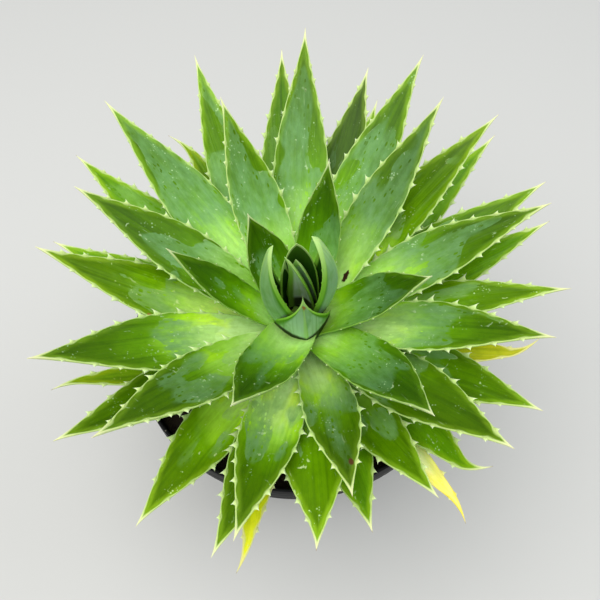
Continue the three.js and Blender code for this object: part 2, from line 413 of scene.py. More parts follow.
def ring_of(lines, i, phases):
    """One ring: its points over the upper face and back below, and their places across, -1 to 1."""
    at, tip_gap, width, up, upper = (lines[key][i] for key in ("at", "tip_gap", "width", "up", "upper"))
    radius = min(EDGE_RADIUS, TIP_RADIUS + RADIUS_GROWTH * tip_gap)
    edge = min(WIDEST_EDGE, radius / max(width, 1e-6))
    a = section_shares(edge)
    wide = np.abs(a)
    far = np.clip((wide - 1 + edge) / edge, 0, 1)
    bead = radius * np.sqrt(1 - far ** 2)
    hollow = (wide ** CHANNEL)[:, None] * (lines["middle"][i] - upper)
    face = upper + a[:, None] * lines["half"][i] + hollow
    inside = 1 - ease(wide, 1 - RIM_WIDTH * edge, 1 - edge)
    folds = inside * ease(tip_gap, *FOLDS_END) * ease(at, *FOLDS_BEGIN) * min(1, width / FULL_FOLDS_WIDTH)
    lift = bead - EDGE_DIP * inside * ease(tip_gap, 0, DIP_END)
    lift = lift + FOLD_HEIGHT * fold_lift(a, at, phases) * folds
    top = face + lift[:, None] * up
    belly = np.clip(1 - wide ** KEEL_ROUNDNESS, 0, 1)
    ridge = KEEL_HEIGHT * np.exp(-(a / KEEL_WIDTH) ** 2) * ease(tip_gap, *KEEL_END)
    low = face + belly[:, None] * lines["depth"][i] - (bead + ridge)[:, None] * up
    return np.concatenate([top, low[-2:0:-1]]), np.concatenate([a, a[-2:0:-1]])


def ring_numbers(lines, i, across):
    """What the finish needs to know of each point: POINT_NUMBERS below in their order, all but the last."""
    width = lines["width"][i]
    points = len(across)
    return np.stack([
        np.full(points, lines["at"][i] / MM),
        across * width / MM,
        np.full(points, lines["share"][i]),
        across,
        (1 - np.abs(across)) * width / MM,
        np.full(points, lines["tip_gap"][i] / MM),
        np.arange(points) > points // 2,
    ], axis=1)


def blade(node, dice):
    """Rings of points of a fine leaf from base to tip, the numbers of each point, and the leaf's lines."""
    lines = station_lines(node)
    phases = [dice.uniform(0, math.tau) for _ in FOLD_WAVES]
    rings = []
    numbers = []
    for i in range(STATIONS):
        points, across = ring_of(lines, i, phases)
        rings.append(points)
        numbers.append(ring_numbers(lines, i, across))
    return np.array(rings), np.array(numbers), lines


rings, numbers, _ = blade("leaf_outer_left", random.Random(1))
print("a fine leaf has", rings.shape[0], "rings of", rings.shape[1], "points")

# %% [markdown]
# ## Teeth
#
# Soft white teeth stand along both edges, eight to twelve millimetres apart, each leaning towards the tip.
# They are largest along the middle of the leaf and stay away from the spine, and on the young leaves they
# have hardly begun to grow. Each one is a small flattened cone with a flared foot, sunk a little into the
# edge, so that it looks grown and not stuck on.

# %% One tooth
TOOTH_HEIGHT = 3.3 * MM
TOOTH_THICKNESS = 0.6 * MM
TOOTH_POINT = 0.25
TOOTH_SIDES = 8
TOOTH_LEVELS = (-0.22, 0.0, 0.15, 0.4, 0.72)
TOOTH_TAPER = 1.9
TOOTH_LEAN = 0.6
TOOTH_CURVE = 1.4


def tooth(root, out, ahead, up, height, foot):
    """Points of one tooth: rings from the sunk foot upwards, then its point."""
    points = []
    for level in TOOTH_LEVELS:
        taper = (1 - max(level, 0)) ** TOOTH_TAPER
        lean = TOOTH_LEAN * height * max(level, 0) ** TOOTH_CURVE
        centre = root + out * height * level + ahead * lean
        for k in range(TOOTH_SIDES):
            turn = math.tau * k / TOOTH_SIDES
            sideways = ahead * math.cos(turn) * foot * taper
            thick = up * math.sin(turn) * TOOTH_THICKNESS * (TOOTH_POINT + (1 - TOOTH_POINT) * taper)
            points.append(centre + sideways + thick)
    points.append(root + out * height + ahead * TOOTH_LEAN * height)
    return points


print("points in a tooth:", TOOTH_SIDES * len(TOOTH_LEVELS) + 1)

# %% [markdown]
# A row of equal teeth would look sawn. Their distance, size and tilt are drawn by chance for each one,
# within narrow limits, and the teeth that stand out towards the back of the plant are a little larger.

# %% Rows of teeth
TOOTH_FOOT = 2.3 * MM
TOOTH_SPACING = (7.8, 12.5)
TOOTH_SIZES = (0.6, 1.15)
TOOTH_TILT = (-0.15, 0.35)
TOOTH_SINK = 0.1 * MM
FIRST_TOOTH = (0.15, 0.24)
SPINE_CLEAR = 12 * MM


def tooth_places(dice, length):
    """Where teeth stand along one edge, in metres from the base, each with its size."""
    places = []
    at = length * dice.uniform(*FIRST_TOOTH)
    while at < length - SPINE_CLEAR:
        share = at / length
        size = dice.uniform(*TOOTH_SIZES) * (0.6 + 0.4 * math.sin(math.pi * min(1, share * 1.15)))
        places.append((at, size))
        at += dice.uniform(*TOOTH_SPACING) * MM
    return places


def leaf_teeth(lines, dice, scale):
    """All the teeth of a leaf: the points of each, its station, and its side, -1 for left and 1 for right."""
    teeth = []
    for edge, side in (("left", -1), ("right", 1)):
        for at, size in tooth_places(dice, lines["length"]):
            i = int(np.searchsorted(lines["at"], at))
            way = unit(lines[edge][i + 1] - lines[edge][i - 1])
            up = lines["up"][i]
            out = unit(np.cross(way, up)) * side
            out = unit(out + dice.uniform(*TOOTH_TILT) * up)
            size *= scale * (0.92 + 0.16 * out[1])
            root = lines[edge][i] - out * TOOTH_SINK
            foot = TOOTH_FOOT * (0.45 + 0.55 * size)
            teeth.append((tooth(root, out, way, up, TOOTH_HEIGHT * size, foot), i, side))
    return teeth


print("teeth on a leaf of 110 mm:", 2 * len(tooth_places(random.Random(1), 110 * MM)))

# %% [markdown]
# ## Making the mesh
#
# The rings and the teeth become one mesh. Each point also keeps a few numbers for the finish: how far along
# and across the leaf it lies, how far from the edge and from the tip in millimetres, and whether it is on
# the underside or near a tooth. The materials read these numbers, so a pattern follows the leaf as grain
# follows a plank.

# %% Mesh helpers


def tube_faces(rings, around, start=0):
    """Faces between rings of points."""
    faces = []
    for i in range(rings - 1):
        for k in range(around):
            a = start + i * around + k
            b = start + i * around + (k + 1) % around
            faces.append((a, b, b + around, a + around))
    return faces


def store(mesh, name, kind, values):
    """Keeps one number or one vector for each point of a mesh."""
    attribute = mesh.attributes.new(name, kind, "POINT")
    key = "vector" if kind == "FLOAT_VECTOR" else "value"
    attribute.data.foreach_set(key, np.asarray(values, np.float32).ravel())


def fix_normals(mesh):
    """Turns every face of a closed mesh outwards."""
    work = bmesh.new()
    work.from_mesh(mesh)
    bmesh.ops.recalc_face_normals(work, faces=work.faces)
    work.to_mesh(mesh)
    work.free()


def new_object(name, data):
    """A mesh, or a light, as an object of the scene."""
    made = bpy.data.objects.new(name, data)
    bpy.context.scene.collection.objects.link(made)
    return made


def stand_for(piece, node):
    """Lets a visual piece ride on the plant in place of a plain CAD node."""
    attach(piece, "root")
    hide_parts(node)


print("faces of a tube of 3 rings of 8 points:", len(tube_faces(3, 8)))

# %% [markdown]
# A tooth stands in the blade as a small closed piece of its own. The horny edge of the blade widens where a
# tooth grows from it, so each point of the blade also learns how near the next tooth is.

# %% Teeth in the mesh
TOOTH_REACH = 2.6


def tooth_nearness(numbers, teeth, lines):
    """For each point of the rings, how near it is to a tooth on its own edge, from 0 to 1."""
    along, across = numbers[:, :, 0].ravel(), numbers[:, :, 3].ravel()
    near = np.zeros(len(along))
    for _, i, side in teeth:
        gap = (along - lines["at"][i] / MM) / TOOTH_REACH
        near = np.maximum(near, np.exp(-gap ** 2) * (across * side > 0))
    return near


def add_teeth(points, values, faces, teeth, lines):
    """Adds the teeth of a leaf to its points, to the numbers of its points, and to its faces."""
    levels = len(TOOTH_LEVELS)
    lifts = [max(level, 0) for level in TOOTH_LEVELS for _ in range(TOOTH_SIDES)] + [1]
    for tooth_points, i, side in teeth:
        start = len(points)
        points.extend(tooth_points)
        faces.extend(tube_faces(levels, TOOTH_SIDES, start))
        top = start + (levels - 1) * TOOTH_SIDES
        point = start + levels * TOOTH_SIDES
        faces.extend((top + k, top + (k + 1) % TOOTH_SIDES, point) for k in range(TOOTH_SIDES))
        faces.append(tuple(range(start, start + TOOTH_SIDES))[::-1])
        at = lines["at"][i] / MM
        across = side * lines["width"][i] / MM
        tip_gap = lines["length"] / MM - at
        values.extend([at, across, lines["share"][i], side, -lift, tip_gap, 0, 1] for lift in lifts)


lines = station_lines("leaf_outer_left")
print("teeth of leaf_outer_left:", len(leaf_teeth(lines, random.Random(1), 1.0)))

# %% [markdown]
# Noise is the same wherever it is read at the same place, so two leaves would get the same pattern. Each
# leaf therefore has its grain a good way apart from that of the others. A brown mark, where there is one,
# is kept as a place in the grain of its leaf.

# %% Leaf mesh
POINT_NUMBERS = ("along_mm", "across_mm", "along", "across", "edge", "tip", "under", "spur")
GRAIN_APART = 40.0


def store_numbers(mesh, values, lines, number, looks, spot):
    """Keeps in the mesh what the finish reads: the numbers of each point, and the looks of the whole leaf."""
    columns = dict(zip(POINT_NUMBERS, np.array(values).T))
    slice_of_noise = GRAIN_APART * number
    offset = np.full(len(values), slice_of_noise)
    grain = np.stack([columns["along_mm"], columns["across_mm"], offset], axis=1)
    store(mesh, "grain", "FLOAT_VECTOR", grain)
    spot_along = spot[0] * lines["length"] / MM
    spot_across = spot[1] * np.interp(spot[0], lines["share"], lines["width"]) / MM
    spots = np.tile([spot_along, spot_across, slice_of_noise], (len(values), 1))
    store(mesh, "spot", "FLOAT_VECTOR", spots)
    for name in POINT_NUMBERS[2:]:
        store(mesh, name, "FLOAT", columns[name])
    for name, value in looks.items():
        store(mesh, name, "FLOAT", np.full(len(values), value))


def leaf_mesh(node, number, teeth_scale, looks, spot):
    """A fine leaf as a new object. The looks are numbers that hold for the whole leaf, and the spot is the
    place of a small brown mark, as a share of the length and of the half width."""
    dice = random.Random(number)
    rings, numbers, lines = blade(node, dice)
    stations, around = rings.shape[:2]
    teeth = leaf_teeth(lines, dice, teeth_scale)
    points = list(rings.reshape(-1, 3))
    nearness = tooth_nearness(numbers, teeth, lines)
    values = list(np.column_stack([numbers.reshape(-1, numbers.shape[2]), nearness]))
    last = (stations - 1) * around
    faces = tube_faces(stations, around)
    faces.append(tuple(range(around))[::-1])
    faces.append(tuple(range(last, last + around)))
    add_teeth(points, values, faces, teeth, lines)
    mesh = bpy.data.meshes.new(node.replace("leaf_", "fine_"))
    mesh.from_pydata([tuple(p) for p in points], [], faces)
    store_numbers(mesh, values, lines, number, looks, spot)
    mesh.shade_smooth()
    fix_normals(mesh)
    leaf = new_object(mesh.name, mesh)
    stand_for(leaf, node)
    return leaf


print("numbers kept for each point:", len(POINT_NUMBERS))

# %% [markdown]
# ## Wiring a material
#
# Every finish below is a small network of nodes. A short helper keeps the wiring readable: it adds a node,
# sets what is constant, and links what isn't.

# %% Material helper


class Finish:
    """One material and short ways to add nodes to it."""

    def __init__(self, name, **constants):
        self.material = bpy.data.materials.new(name)
        self.material.use_nodes = True
        self.tree = self.material.node_tree
        self.shader = self.tree.nodes["Principled BSDF"]
        for socket, value in constants.items():
            self.shader.inputs[socket.replace("_", " ")].default_value = value

    def add(self, kind, inputs=(), **settings):
        node = self.tree.nodes.new("ShaderNode" + kind)
        for key, value in settings.items():
            setattr(node, key, value)
        for socket, value in dict(inputs).items():
            self.put(node.inputs[socket], value)
        return node

    def put(self, socket, value):
        """Links a value that another node gives, and sets one that is constant."""
        if isinstance(value, bpy.types.NodeSocket):
            self.tree.links.new(value, socket)
        elif isinstance(value, tuple) and len(value) == 3 and socket.type == "RGBA":
            socket.default_value = (*value, 1)
        else:
            socket.default_value = value

    def out(self, socket, value):
        self.put(self.shader.inputs[socket], value)

    def number(self, name):
        return self.add("Attribute", attribute_name=name).outputs["Fac"]

    def vector(self, name):
        return self.add("Attribute", attribute_name=name).outputs["Vector"]

    def math(self, operation, a, b=0.0, c=0.0):
        return self.add("Math", {0: a, 1: b, 2: c}, operation=operation).outputs[0]

    def times(self, a, b):
        return self.math("MULTIPLY", a, b)

    def plus(self, a, b):
        return self.math("ADD", a, b)

    def minus(self, a, b):
        return self.math("SUBTRACT", a, b)

    def grow(self, value, slope, start):
        """Start, plus the slope times the value."""
        return self.math("MULTIPLY_ADD", value, slope, start)

    def step(self, value, low, high, start=0.0, end=1.0):
        """Start where the value is at low, end where it is at high, and a smooth curve between."""
        inputs = {"Value": value, "From Min": low, "From Max": high, "To Min": start, "To Max": end}
        return self.add("MapRange", inputs, interpolation_type="SMOOTHSTEP").outputs[0]

    def mix(self, factor, a, b, blend="MIX"):
        inputs = {0: factor, 6: a, 7: b}
        return self.add("Mix", inputs, data_type="RGBA", blend_type=blend).outputs[2]

    def tinted(self, factor, colour, tint):
        """The colour, multiplied by a tint as far as the factor says."""
        return self.mix(factor, colour, self.mix(1.0, colour, tint, "MULTIPLY"))

    def scaled(self, vector, scale):
        return self.add("Mapping", {"Vector": vector, "Scale": scale}).outputs[0]

    def noise(self, vector, scale=1.0, detail=2.0, rough=0.5, twist=0.0):
        inputs = {"Vector": vector, "Scale": scale, "Detail": detail, "Roughness": rough, "Distortion": twist}
        return self.add("TexNoise", inputs).outputs["Fac"]

    def cells(self, vector, scale):
        """Scattered cells: outputs for the distance from the middle of a cell, and for its chance colour."""
        return self.add("TexVoronoi", {"Vector": vector, "Scale": scale, "Randomness": 1.0}).outputs

    def bump(self, height, distance, strength=1.0, normal=None):
        inputs = {"Height": height, "Distance": distance, "Strength": strength}
        if normal is not None:
            inputs["Normal"] = normal
        return self.add("Bump", inputs).outputs["Normal"]

    def ramp(self, factor, stops):
        """A colour for each value of the factor, from (place, colour) stops."""
        node = self.add("ValToRGB", {"Fac": factor})
        ramp = node.color_ramp
        for i, (place, colour) in enumerate(stops):
            stop = ramp.elements[i] if i < 2 else ramp.elements.new(place)
            stop.position = place
            stop.color = (*colour, 1)
        return node.outputs["Color"]


print("ways to add a node:", len([name for name in vars(Finish) if not name.startswith("_")]))

# %% [markdown]
# ## The skin of a leaf
#
# The colour of a leaf runs from nearly white, where it leaves the stem and light never reached it, through
# yellow-green to deep green. The near-white base is partly that pale flesh and partly a painted glow of the
# light that shines through the thin base. Over that lies a thin bluish wax. Where water has run or a leaf
# has rubbed its neighbour the wax is gone, in rounded patches whose rim is crisp in some places and soft in
# others, and the bright green flesh shows like a window. Painting this by hand would take a picture for each
# leaf. Noise that is stretched along the leaf and cut at a threshold makes the same rounded windows,
# different on every leaf.

# %% Patterns of a leaf
PATTERNS = {
    "clouds": (0.032, 0.055, {"detail": 2}),
    "veins": (0.013, 0.75, {"detail": 3}),
    "creases": (0.011, 0.26, {"detail": 1}),
    "mottle": (0.22, 0.36, {"detail": 3, "rough": 0.6}),
    "blotches": (0.045, 0.11, {"detail": 1, "scale": 1.3}),
    "lobes": (0.036, 0.082, {"detail": 0.6, "twist": 0.3}),
    "ripples": (0.4, 0.5, {"detail": 2}),
    "crisp": (0.06, 0.09, {"detail": 0, "scale": 1.4}),
    "haze": (0.08, 0.20, {"detail": 4, "rough": 0.6}),
    "marked": (0.07, 0.10, {"scale": 1.7}),
    "levels": (0.050, 0.045, {"detail": 2}),
    "dusty": (0.05, 0.09, {"detail": 1, "scale": 1.3}),
    "hairs": (0.10, 1.6, {"detail": 1, "twist": 0.6}),
    "bud streaks": (0.02, 0.85, {"detail": 3}),
    "bud clouds": (0.09, 0.16, {"detail": 2}),
}


class LeafFinish(Finish):
    """A finish for a leaf, with the numbers and the noise that its layers share. Each pattern has its number
    of patches per mm along the leaf and across it, and what else its noise needs."""

    def __init__(self, name, **constants):
        super().__init__(name, **constants)
        self.grain = self.vector("grain")
        self.along = self.number("along")
        self.across = self.math("ABSOLUTE", self.number("across"))
        self.edge = self.number("edge")
        self.tip_gap = self.number("tip")
        self.made = {}

    def pattern(self, name):
        if name not in self.made:
            along, across, settings = PATTERNS[name]
            self.made[name] = self.noise(self.scaled(self.grain, (along, across, 1)), **settings)
        return self.made[name]


print("patterns of the leaves:", len(PATTERNS))

# %% [markdown]
# Under the wax lies the flesh. Its colour follows the length of the leaf, shifted to and fro by soft clouds
# so that no border runs straight across. Veins and creases darken it in long lines, a fine mottle breaks it
# up, and in the first half of the leaf some patches are a bright yellow-green.

# %% Flesh of a leaf
VEIN_SHADE = (0.55, 0.66, 0.40)
VEIN_LIGHT = (1.5, 1.35, 1.6)
CREASE_SHADE = (0.55, 0.62, 0.40)
MOTTLE_SHADE = (0.68, 0.76, 0.45)
BRIGHT_FLESH = (1.30, 1.25, 0.25)


def flesh(skin, greens):
    """The colour of the leaf below its wax."""
    along, across = skin.along, skin.across
    drift = skin.grow(skin.pattern("clouds"), 0.30, -0.15)
    drift = skin.grow(skin.times(across, across), 0.12, drift)
    drift = skin.minus(drift, skin.times(skin.number("pale"), skin.step(along, 1.0, 0.2)))
    base = skin.ramp(skin.plus(along, drift), greens)

    veins = skin.pattern("veins")
    dark_vein = skin.times(skin.step(veins, 0.44, 0.70), skin.step(along, 0.1, 0.9, 0.15, 0.50))
    base = skin.tinted(dark_vein, base, VEIN_SHADE)
    pale_vein = skin.times(skin.step(veins, 0.42, 0.22), skin.step(along, 0.0, 0.6, 0.30, 0.14))
    base = skin.tinted(pale_vein, base, VEIN_LIGHT)
    crease = skin.step(skin.pattern("creases"), 0.52, 0.64)
    crease = skin.times(crease, skin.step(along, 0.2, 0.75, 0.05, 0.60))
    base = skin.tinted(crease, base, CREASE_SHADE)
    base = skin.tinted(skin.step(skin.pattern("mottle"), 0.42, 0.66, 0.0, 0.40), base, MOTTLE_SHADE)

    bright = skin.step(skin.pattern("blotches"), 0.48, 0.60)
    bright = skin.times(bright, skin.step(across, 0.10, 0.55, 0.25, 1.0))
    bright = skin.times(bright, skin.step(along, 0.80, 0.30, 0.0, 0.85))
    bright = skin.times(bright, skin.step(along, 0.08, 0.22))
    return skin.tinted(bright, base, BRIGHT_FLESH)


print("tint of the dark veins:", VEIN_SHADE)

# %% [markdown]
# The wax is worn first along the edges and towards the tip, and drops of water have washed round holes in
# it. All of these are taken from one field of noise, and the wax is whole where the field stays above a
# threshold. How fast the field is read across the threshold makes the rim of a window crisp or soft.

# %% Cover of wax
WAX_THRESHOLD = 0.44
DROP_STRETCH = (0.050, 0.13, 1)
DROP_SCALE = 5.0


def wax_cover(skin):
    """How far a point lies inside the wax: it is worn away at 0 and below, and whole from 1 on."""
    along = skin.along
    worn_edge = skin.times(skin.math("POWER", skin.across, 3.0), 0.20)
    worn_tip = skin.step(along, 0.42, 0.80, 0.0, 0.24)
    field = skin.minus(skin.minus(skin.pattern("lobes"), worn_edge), worn_tip)
    drops = skin.cells(skin.scaled(skin.grain, DROP_STRETCH), DROP_SCALE)
    chance = skin.add("SeparateColor", {0: drops["Color"]}).outputs[0]
    washed = skin.times(skin.step(drops["Distance"], 0.40, 0.30), 0.14)
    field = skin.minus(field, skin.times(washed, skin.step(chance, 0.55, 0.57)))
    field = skin.plus(field, skin.number("wax"))
    field = skin.grow(skin.pattern("ripples"), 0.022, field)
    softness = skin.step(skin.pattern("crisp"), 0.42, 0.60, 0.008, 0.11)
    cover = skin.math("DIVIDE", skin.minus(field, WAX_THRESHOLD), softness)
    return skin.plus(cover, 0.5)


print("the wax ends where the field falls through", WAX_THRESHOLD)

# %% [markdown]
# The wax itself is thin and uneven, thinnest at the pale base. Light that passes through the blade near its
# edge makes a strip there brighter than the rest, more so towards the tip.

# %% Wax over the flesh
WAX_LIGHT = (1.3, 1.22, 1.35)


def waxed(skin, base, cover, wax_colours, rim_colour):
    """The flesh seen through its wax, and how thick the wax lies."""
    along = skin.along
    haze = skin.pattern("haze")
    light_patches = skin.step(skin.pattern("mottle"), 0.60, 0.40, 0.0, 0.5)
    wax_tone = skin.tinted(light_patches, skin.ramp(along, wax_colours), WAX_LIGHT)
    thick_wax = skin.times(skin.step(cover, 0.0, 1.0), skin.step(haze, 0.30, 0.68, 0.34, 0.92))
    thick_wax = skin.times(thick_wax, skin.step(along, 0.06, 0.34, 0.10, 1.0))
    colour = skin.mix(thick_wax, base, wax_tone)
    lit_edge = skin.times(skin.step(skin.edge, 3.6, 1.2), skin.step(along, 0.30, 0.85, 0.0, 0.62))
    lit_edge = skin.times(lit_edge, skin.step(haze, 0.30, 0.60, 0.4, 1.0))
    return skin.mix(lit_edge, colour, rim_colour), thick_wax


print("tint of the light patches in the wax:", WAX_LIGHT)

# %% [markdown]
# Hard water dries in pale lines, some round a window in the wax and some where a puddle stood. Fine specks
# of lime and hair-thin scratches lie over them. They are colour only, since none of them is thick enough to
# see. A few leaves also have one small brown scar, and a number of the leaf says how dark it is.

# %% Marks on a leaf
DRIED_WATER = (0.60, 0.78, 0.46)
LIME = (0.50, 0.72, 0.40)
SCRATCH = (0.58, 0.74, 0.42)
YOUNG_SCAR = (0.42, 0.20, 0.05)
DARK_SCAR = (0.035, 0.012, 0.006)
SPECKS_PER_MM = 0.68
SCAR_STRETCH = (0.40, 1, 1)


def weathered(skin, colour, cover):
    """The colour with dried water lines, specks and scratches."""
    marked = skin.pattern("marked")
    rim = skin.times(skin.step(cover, -0.9, 0.1), skin.step(cover, 1.2, 0.3))
    rim = skin.times(rim, skin.step(skin.pattern("crisp"), 0.47, 0.43))
    rim = skin.times(rim, skin.step(marked, 0.50, 0.62, 0.0, 0.25))
    dried = skin.step(skin.math("ABSOLUTE", skin.minus(skin.pattern("levels"), 0.55)), 0.013, 0.004)
    dried = skin.times(dried, skin.step(marked, 0.50, 0.60, 0.0, 0.45))
    dried = skin.times(dried, skin.step(skin.pattern("ripples"), 0.52, 0.62))
    colour = skin.mix(skin.math("MAXIMUM", rim, dried), colour, DRIED_WATER)

    speck = skin.step(skin.cells(skin.grain, SPECKS_PER_MM)["Distance"], 0.36, 0.18)
    dusty = skin.step(skin.pattern("dusty"), 0.56, 0.70)
    speck = skin.times(speck, skin.times(dusty, skin.step(skin.along, 0.15, 0.45, 0.30, 0.85)))
    speck = skin.times(speck, skin.step(skin.pattern("mottle"), 0.52, 0.44))
    colour = skin.mix(skin.times(speck, 0.75), colour, LIME)
    scratch = skin.times(skin.step(skin.pattern("hairs"), 0.68, 0.76), skin.step(marked, 0.48, 0.60))
    return skin.mix(skin.times(scratch, 0.22), colour, SCRATCH)


def scarred(skin, colour):
    """The colour with the small brown mark of a leaf, which is longer along the leaf than across it."""
    ends = {0: skin.scaled(skin.grain, SCAR_STRETCH), 1: skin.scaled(skin.vector("spot"), SCAR_STRETCH)}
    gap = skin.add("VectorMath", ends, operation="DISTANCE").outputs["Value"]
    ragged = skin.grow(skin.pattern("ripples"), 2.0, gap)
    mark = skin.number("mark")
    scar = skin.step(skin.grow(mark, -0.7, ragged), 1.75, 1.25)
    return skin.mix(scar, colour, skin.mix(skin.times(mark, 1.6), YOUNG_SCAR, DARK_SCAR))


print("size in mm of the cells that can hold a speck:", round(1 / SPECKS_PER_MM, 1))

# %% [markdown]
# The hard edge is a pale line about as wide as the blade's edge is thick. It widens towards the tip, where
# it becomes the spine, and at the foot of each tooth. The very tip of an old leaf is dry and brown.

# %% Horny edge
TOOTH_WHITE = (0.70, 0.84, 0.48)
BURNT_TIP = (0.22, 0.09, 0.03)
SPINE_REACH = (1.0, 17.0)


def horned(skin, colour, horn_colours):
    """The colour with the pale edge, the teeth and the dry tip."""
    band = skin.times(skin.step(skin.tip_gap, *SPINE_REACH, 1.40, 0.50), skin.number("horny"))
    band = skin.times(band, skin.grow(skin.number("spur"), 1.4, 0.75))
    reach = skin.math("DIVIDE", skin.edge, band)
    reach = skin.grow(skin.pattern("ripples"), 0.45, reach)
    tone = skin.ramp(skin.along, horn_colours)
    tone = skin.mix(skin.step(skin.edge, 0.0, -0.6, 0.0, 0.85), tone, TOOTH_WHITE)
    colour = skin.mix(skin.step(reach, 1.72, 0.68), colour, tone)
    burnt = skin.times(skin.step(skin.tip_gap, 1.6, 0.3), skin.number("burnt"))
    return skin.mix(burnt, colour, BURNT_TIP)


print("distance over which the edge widens to the spine in mm:", SPINE_REACH[1] - SPINE_REACH[0])

# %% [markdown]
# Now the layers go over each other, from the flesh outwards. The underside has no wax to speak of. It shows
# the colour of the flesh, turned halfway to a pale green. Light goes a little way into an aloe leaf, so the
# finish scatters it below the surface. Wax is duller than bare flesh, and veins and creases are pressed
# into the skin as a fine relief.

# %% Leaf finish
SCATTER = (0.5, 1.0, 0.15)
PALE_UNDER = (0.22, 0.42, 0.10)
WARM_TINT = (1.45, 1.08, 0.35)
PORE_DEPTH = 0.05 * MM
VEIN_DEPTH = 0.35 * MM
CREASE_DEPTH = 1.1 * MM
WAX_DEPTH = 0.04 * MM


def leaf_finish(name, greens, wax_colours, horn_colours, rim_colour, dullness):
    """Each list holds the stops of a colour from base to tip, as (share of the length, colour)."""
    skin = LeafFinish(name, Subsurface_Weight=0.10, Subsurface_Scale=0.003, Specular_IOR_Level=0.13)
    skin.shader.inputs["Subsurface Radius"].default_value = SCATTER
    base = flesh(skin, greens)
    cover = wax_cover(skin)
    colour, thick_wax = waxed(skin, base, cover, wax_colours, rim_colour)
    colour = weathered(skin, colour, cover)
    colour = skin.mix(skin.number("under"), colour, skin.mix(0.5, base, PALE_UNDER))
    colour = skin.mix(1.0, colour, skin.number("tone"), "MULTIPLY")
    colour = skin.tinted(skin.number("warm"), colour, WARM_TINT)
    colour = scarred(skin, colour)
    colour = horned(skin, colour, horn_colours)
    skin.out("Base Color", colour)

    rough = skin.grow(thick_wax, 0.14, dullness)
    skin.out("Roughness", skin.grow(skin.pattern("mottle"), 0.12, rough))
    pores = skin.noise(skin.grain, scale=2.2, detail=2)
    relief = skin.bump(pores, PORE_DEPTH, 0.4)
    relief = skin.bump(skin.pattern("veins"), VEIN_DEPTH, 0.6, relief)
    relief = skin.bump(skin.pattern("creases"), CREASE_DEPTH, 0.6, relief)
    relief = skin.bump(thick_wax, WAX_DEPTH, 0.5, relief)
    skin.out("Normal", relief)
    return skin.material


print("relief of a crease and of a vein in mm:", round(CREASE_DEPTH / MM, 2), round(VEIN_DEPTH / MM, 2))

# %% [markdown]
# One finish is not enough for a whole plant. Young leaves are darker, old ones paler and yellower, and
# leaves that die turn yellow or cream. The five skins share every layer, and differ in their colours and in
# how dull they are.

# %% Leaf colours
HORN = [
    (0.0, (0.60, 0.82, 0.32)),
    (0.5, (0.45, 0.66, 0.20)),
    (0.9, (0.55, 0.71, 0.24)),
    (1.0, (0.86, 0.86, 0.50)),
]
YOUNG_HORN = [
    (0.0, (0.22, 0.42, 0.06)),
    (0.6, (0.26, 0.44, 0.09)),
    (0.9, (0.42, 0.58, 0.20)),
    (1.0, (0.78, 0.84, 0.50)),
]
# The near-white first stops of the green and wax ramps are partly the pale flesh at the base and partly a
# painted glow of light shining through the thin base.
FULL_GREEN = [
    (0.00, (0.66, 0.95, 0.36)),
    (0.16, (0.55, 0.88, 0.24)),
    (0.29, (0.34, 0.68, 0.06)),
    (0.43, (0.120, 0.305, 0.002)),
    (0.62, (0.072, 0.185, 0.000)),
    (1.00, (0.054, 0.125, 0.000)),
]
FULL_WAX = [
    (0.00, (0.66, 0.94, 0.40)),
    (0.24, (0.38, 0.68, 0.16)),
    (0.42, (0.155, 0.33, 0.110)),
    (0.70, (0.105, 0.240, 0.070)),
    (1.00, (0.090, 0.20, 0.035)),
]
YOUNG_GREEN = [
    (0.00, (0.52, 0.88, 0.24)),
    (0.18, (0.28, 0.60, 0.03)),
    (0.36, (0.100, 0.28, 0.002)),
    (0.60, (0.045, 0.140, 0.000)),
    (1.00, (0.028, 0.080, 0.000)),
]
YOUNG_WAX = [
    (0.00, (0.48, 0.84, 0.18)),
    (0.30, (0.17, 0.39, 0.090)),
    (0.60, (0.080, 0.20, 0.060)),
    (1.00, (0.045, 0.120, 0.030)),
]
OLD_GREEN = [
    (0.00, (0.60, 0.90, 0.26)),
    (0.22, (0.32, 0.66, 0.03)),
    (0.50, (0.15, 0.38, 0.003)),
    (1.00, (0.09, 0.25, 0.001)),
]
OLD_WAX = [(0.00, (0.70, 0.88, 0.32)), (0.35, (0.20, 0.43, 0.08)), (1.00, (0.12, 0.29, 0.04))]
YELLOW = [
    (0.00, (0.42, 0.66, 0.03)),
    (0.45, (0.60, 0.76, 0.010)),
    (0.80, (0.78, 0.82, 0.012)),
    (1.00, (0.84, 0.78, 0.06)),
]
YELLOW_WAX = [(0.00, (0.80, 0.88, 0.20)), (1.00, (0.86, 0.84, 0.10))]
YELLOW_HORN = [(0.0, (0.72, 0.86, 0.34)), (0.6, (0.85, 0.88, 0.36)), (1.0, (0.80, 0.76, 0.26))]
CREAM = [
    (0.00, (1.00, 1.00, 0.40)),
    (0.66, (1.00, 1.00, 0.52)),
    (0.80, (1.00, 0.88, 0.12)),
    (1.00, (0.90, 0.60, 0.03)),
]
CREAM_WAX = [(0.00, (0.97, 0.97, 0.55)), (0.70, (0.97, 0.95, 0.50)), (0.85, (0.96, 0.84, 0.10))]
CREAM_HORN = [(0.0, (0.80, 0.88, 0.36)), (0.70, (0.95, 0.92, 0.36)), (0.85, (0.96, 0.80, 0.10))]

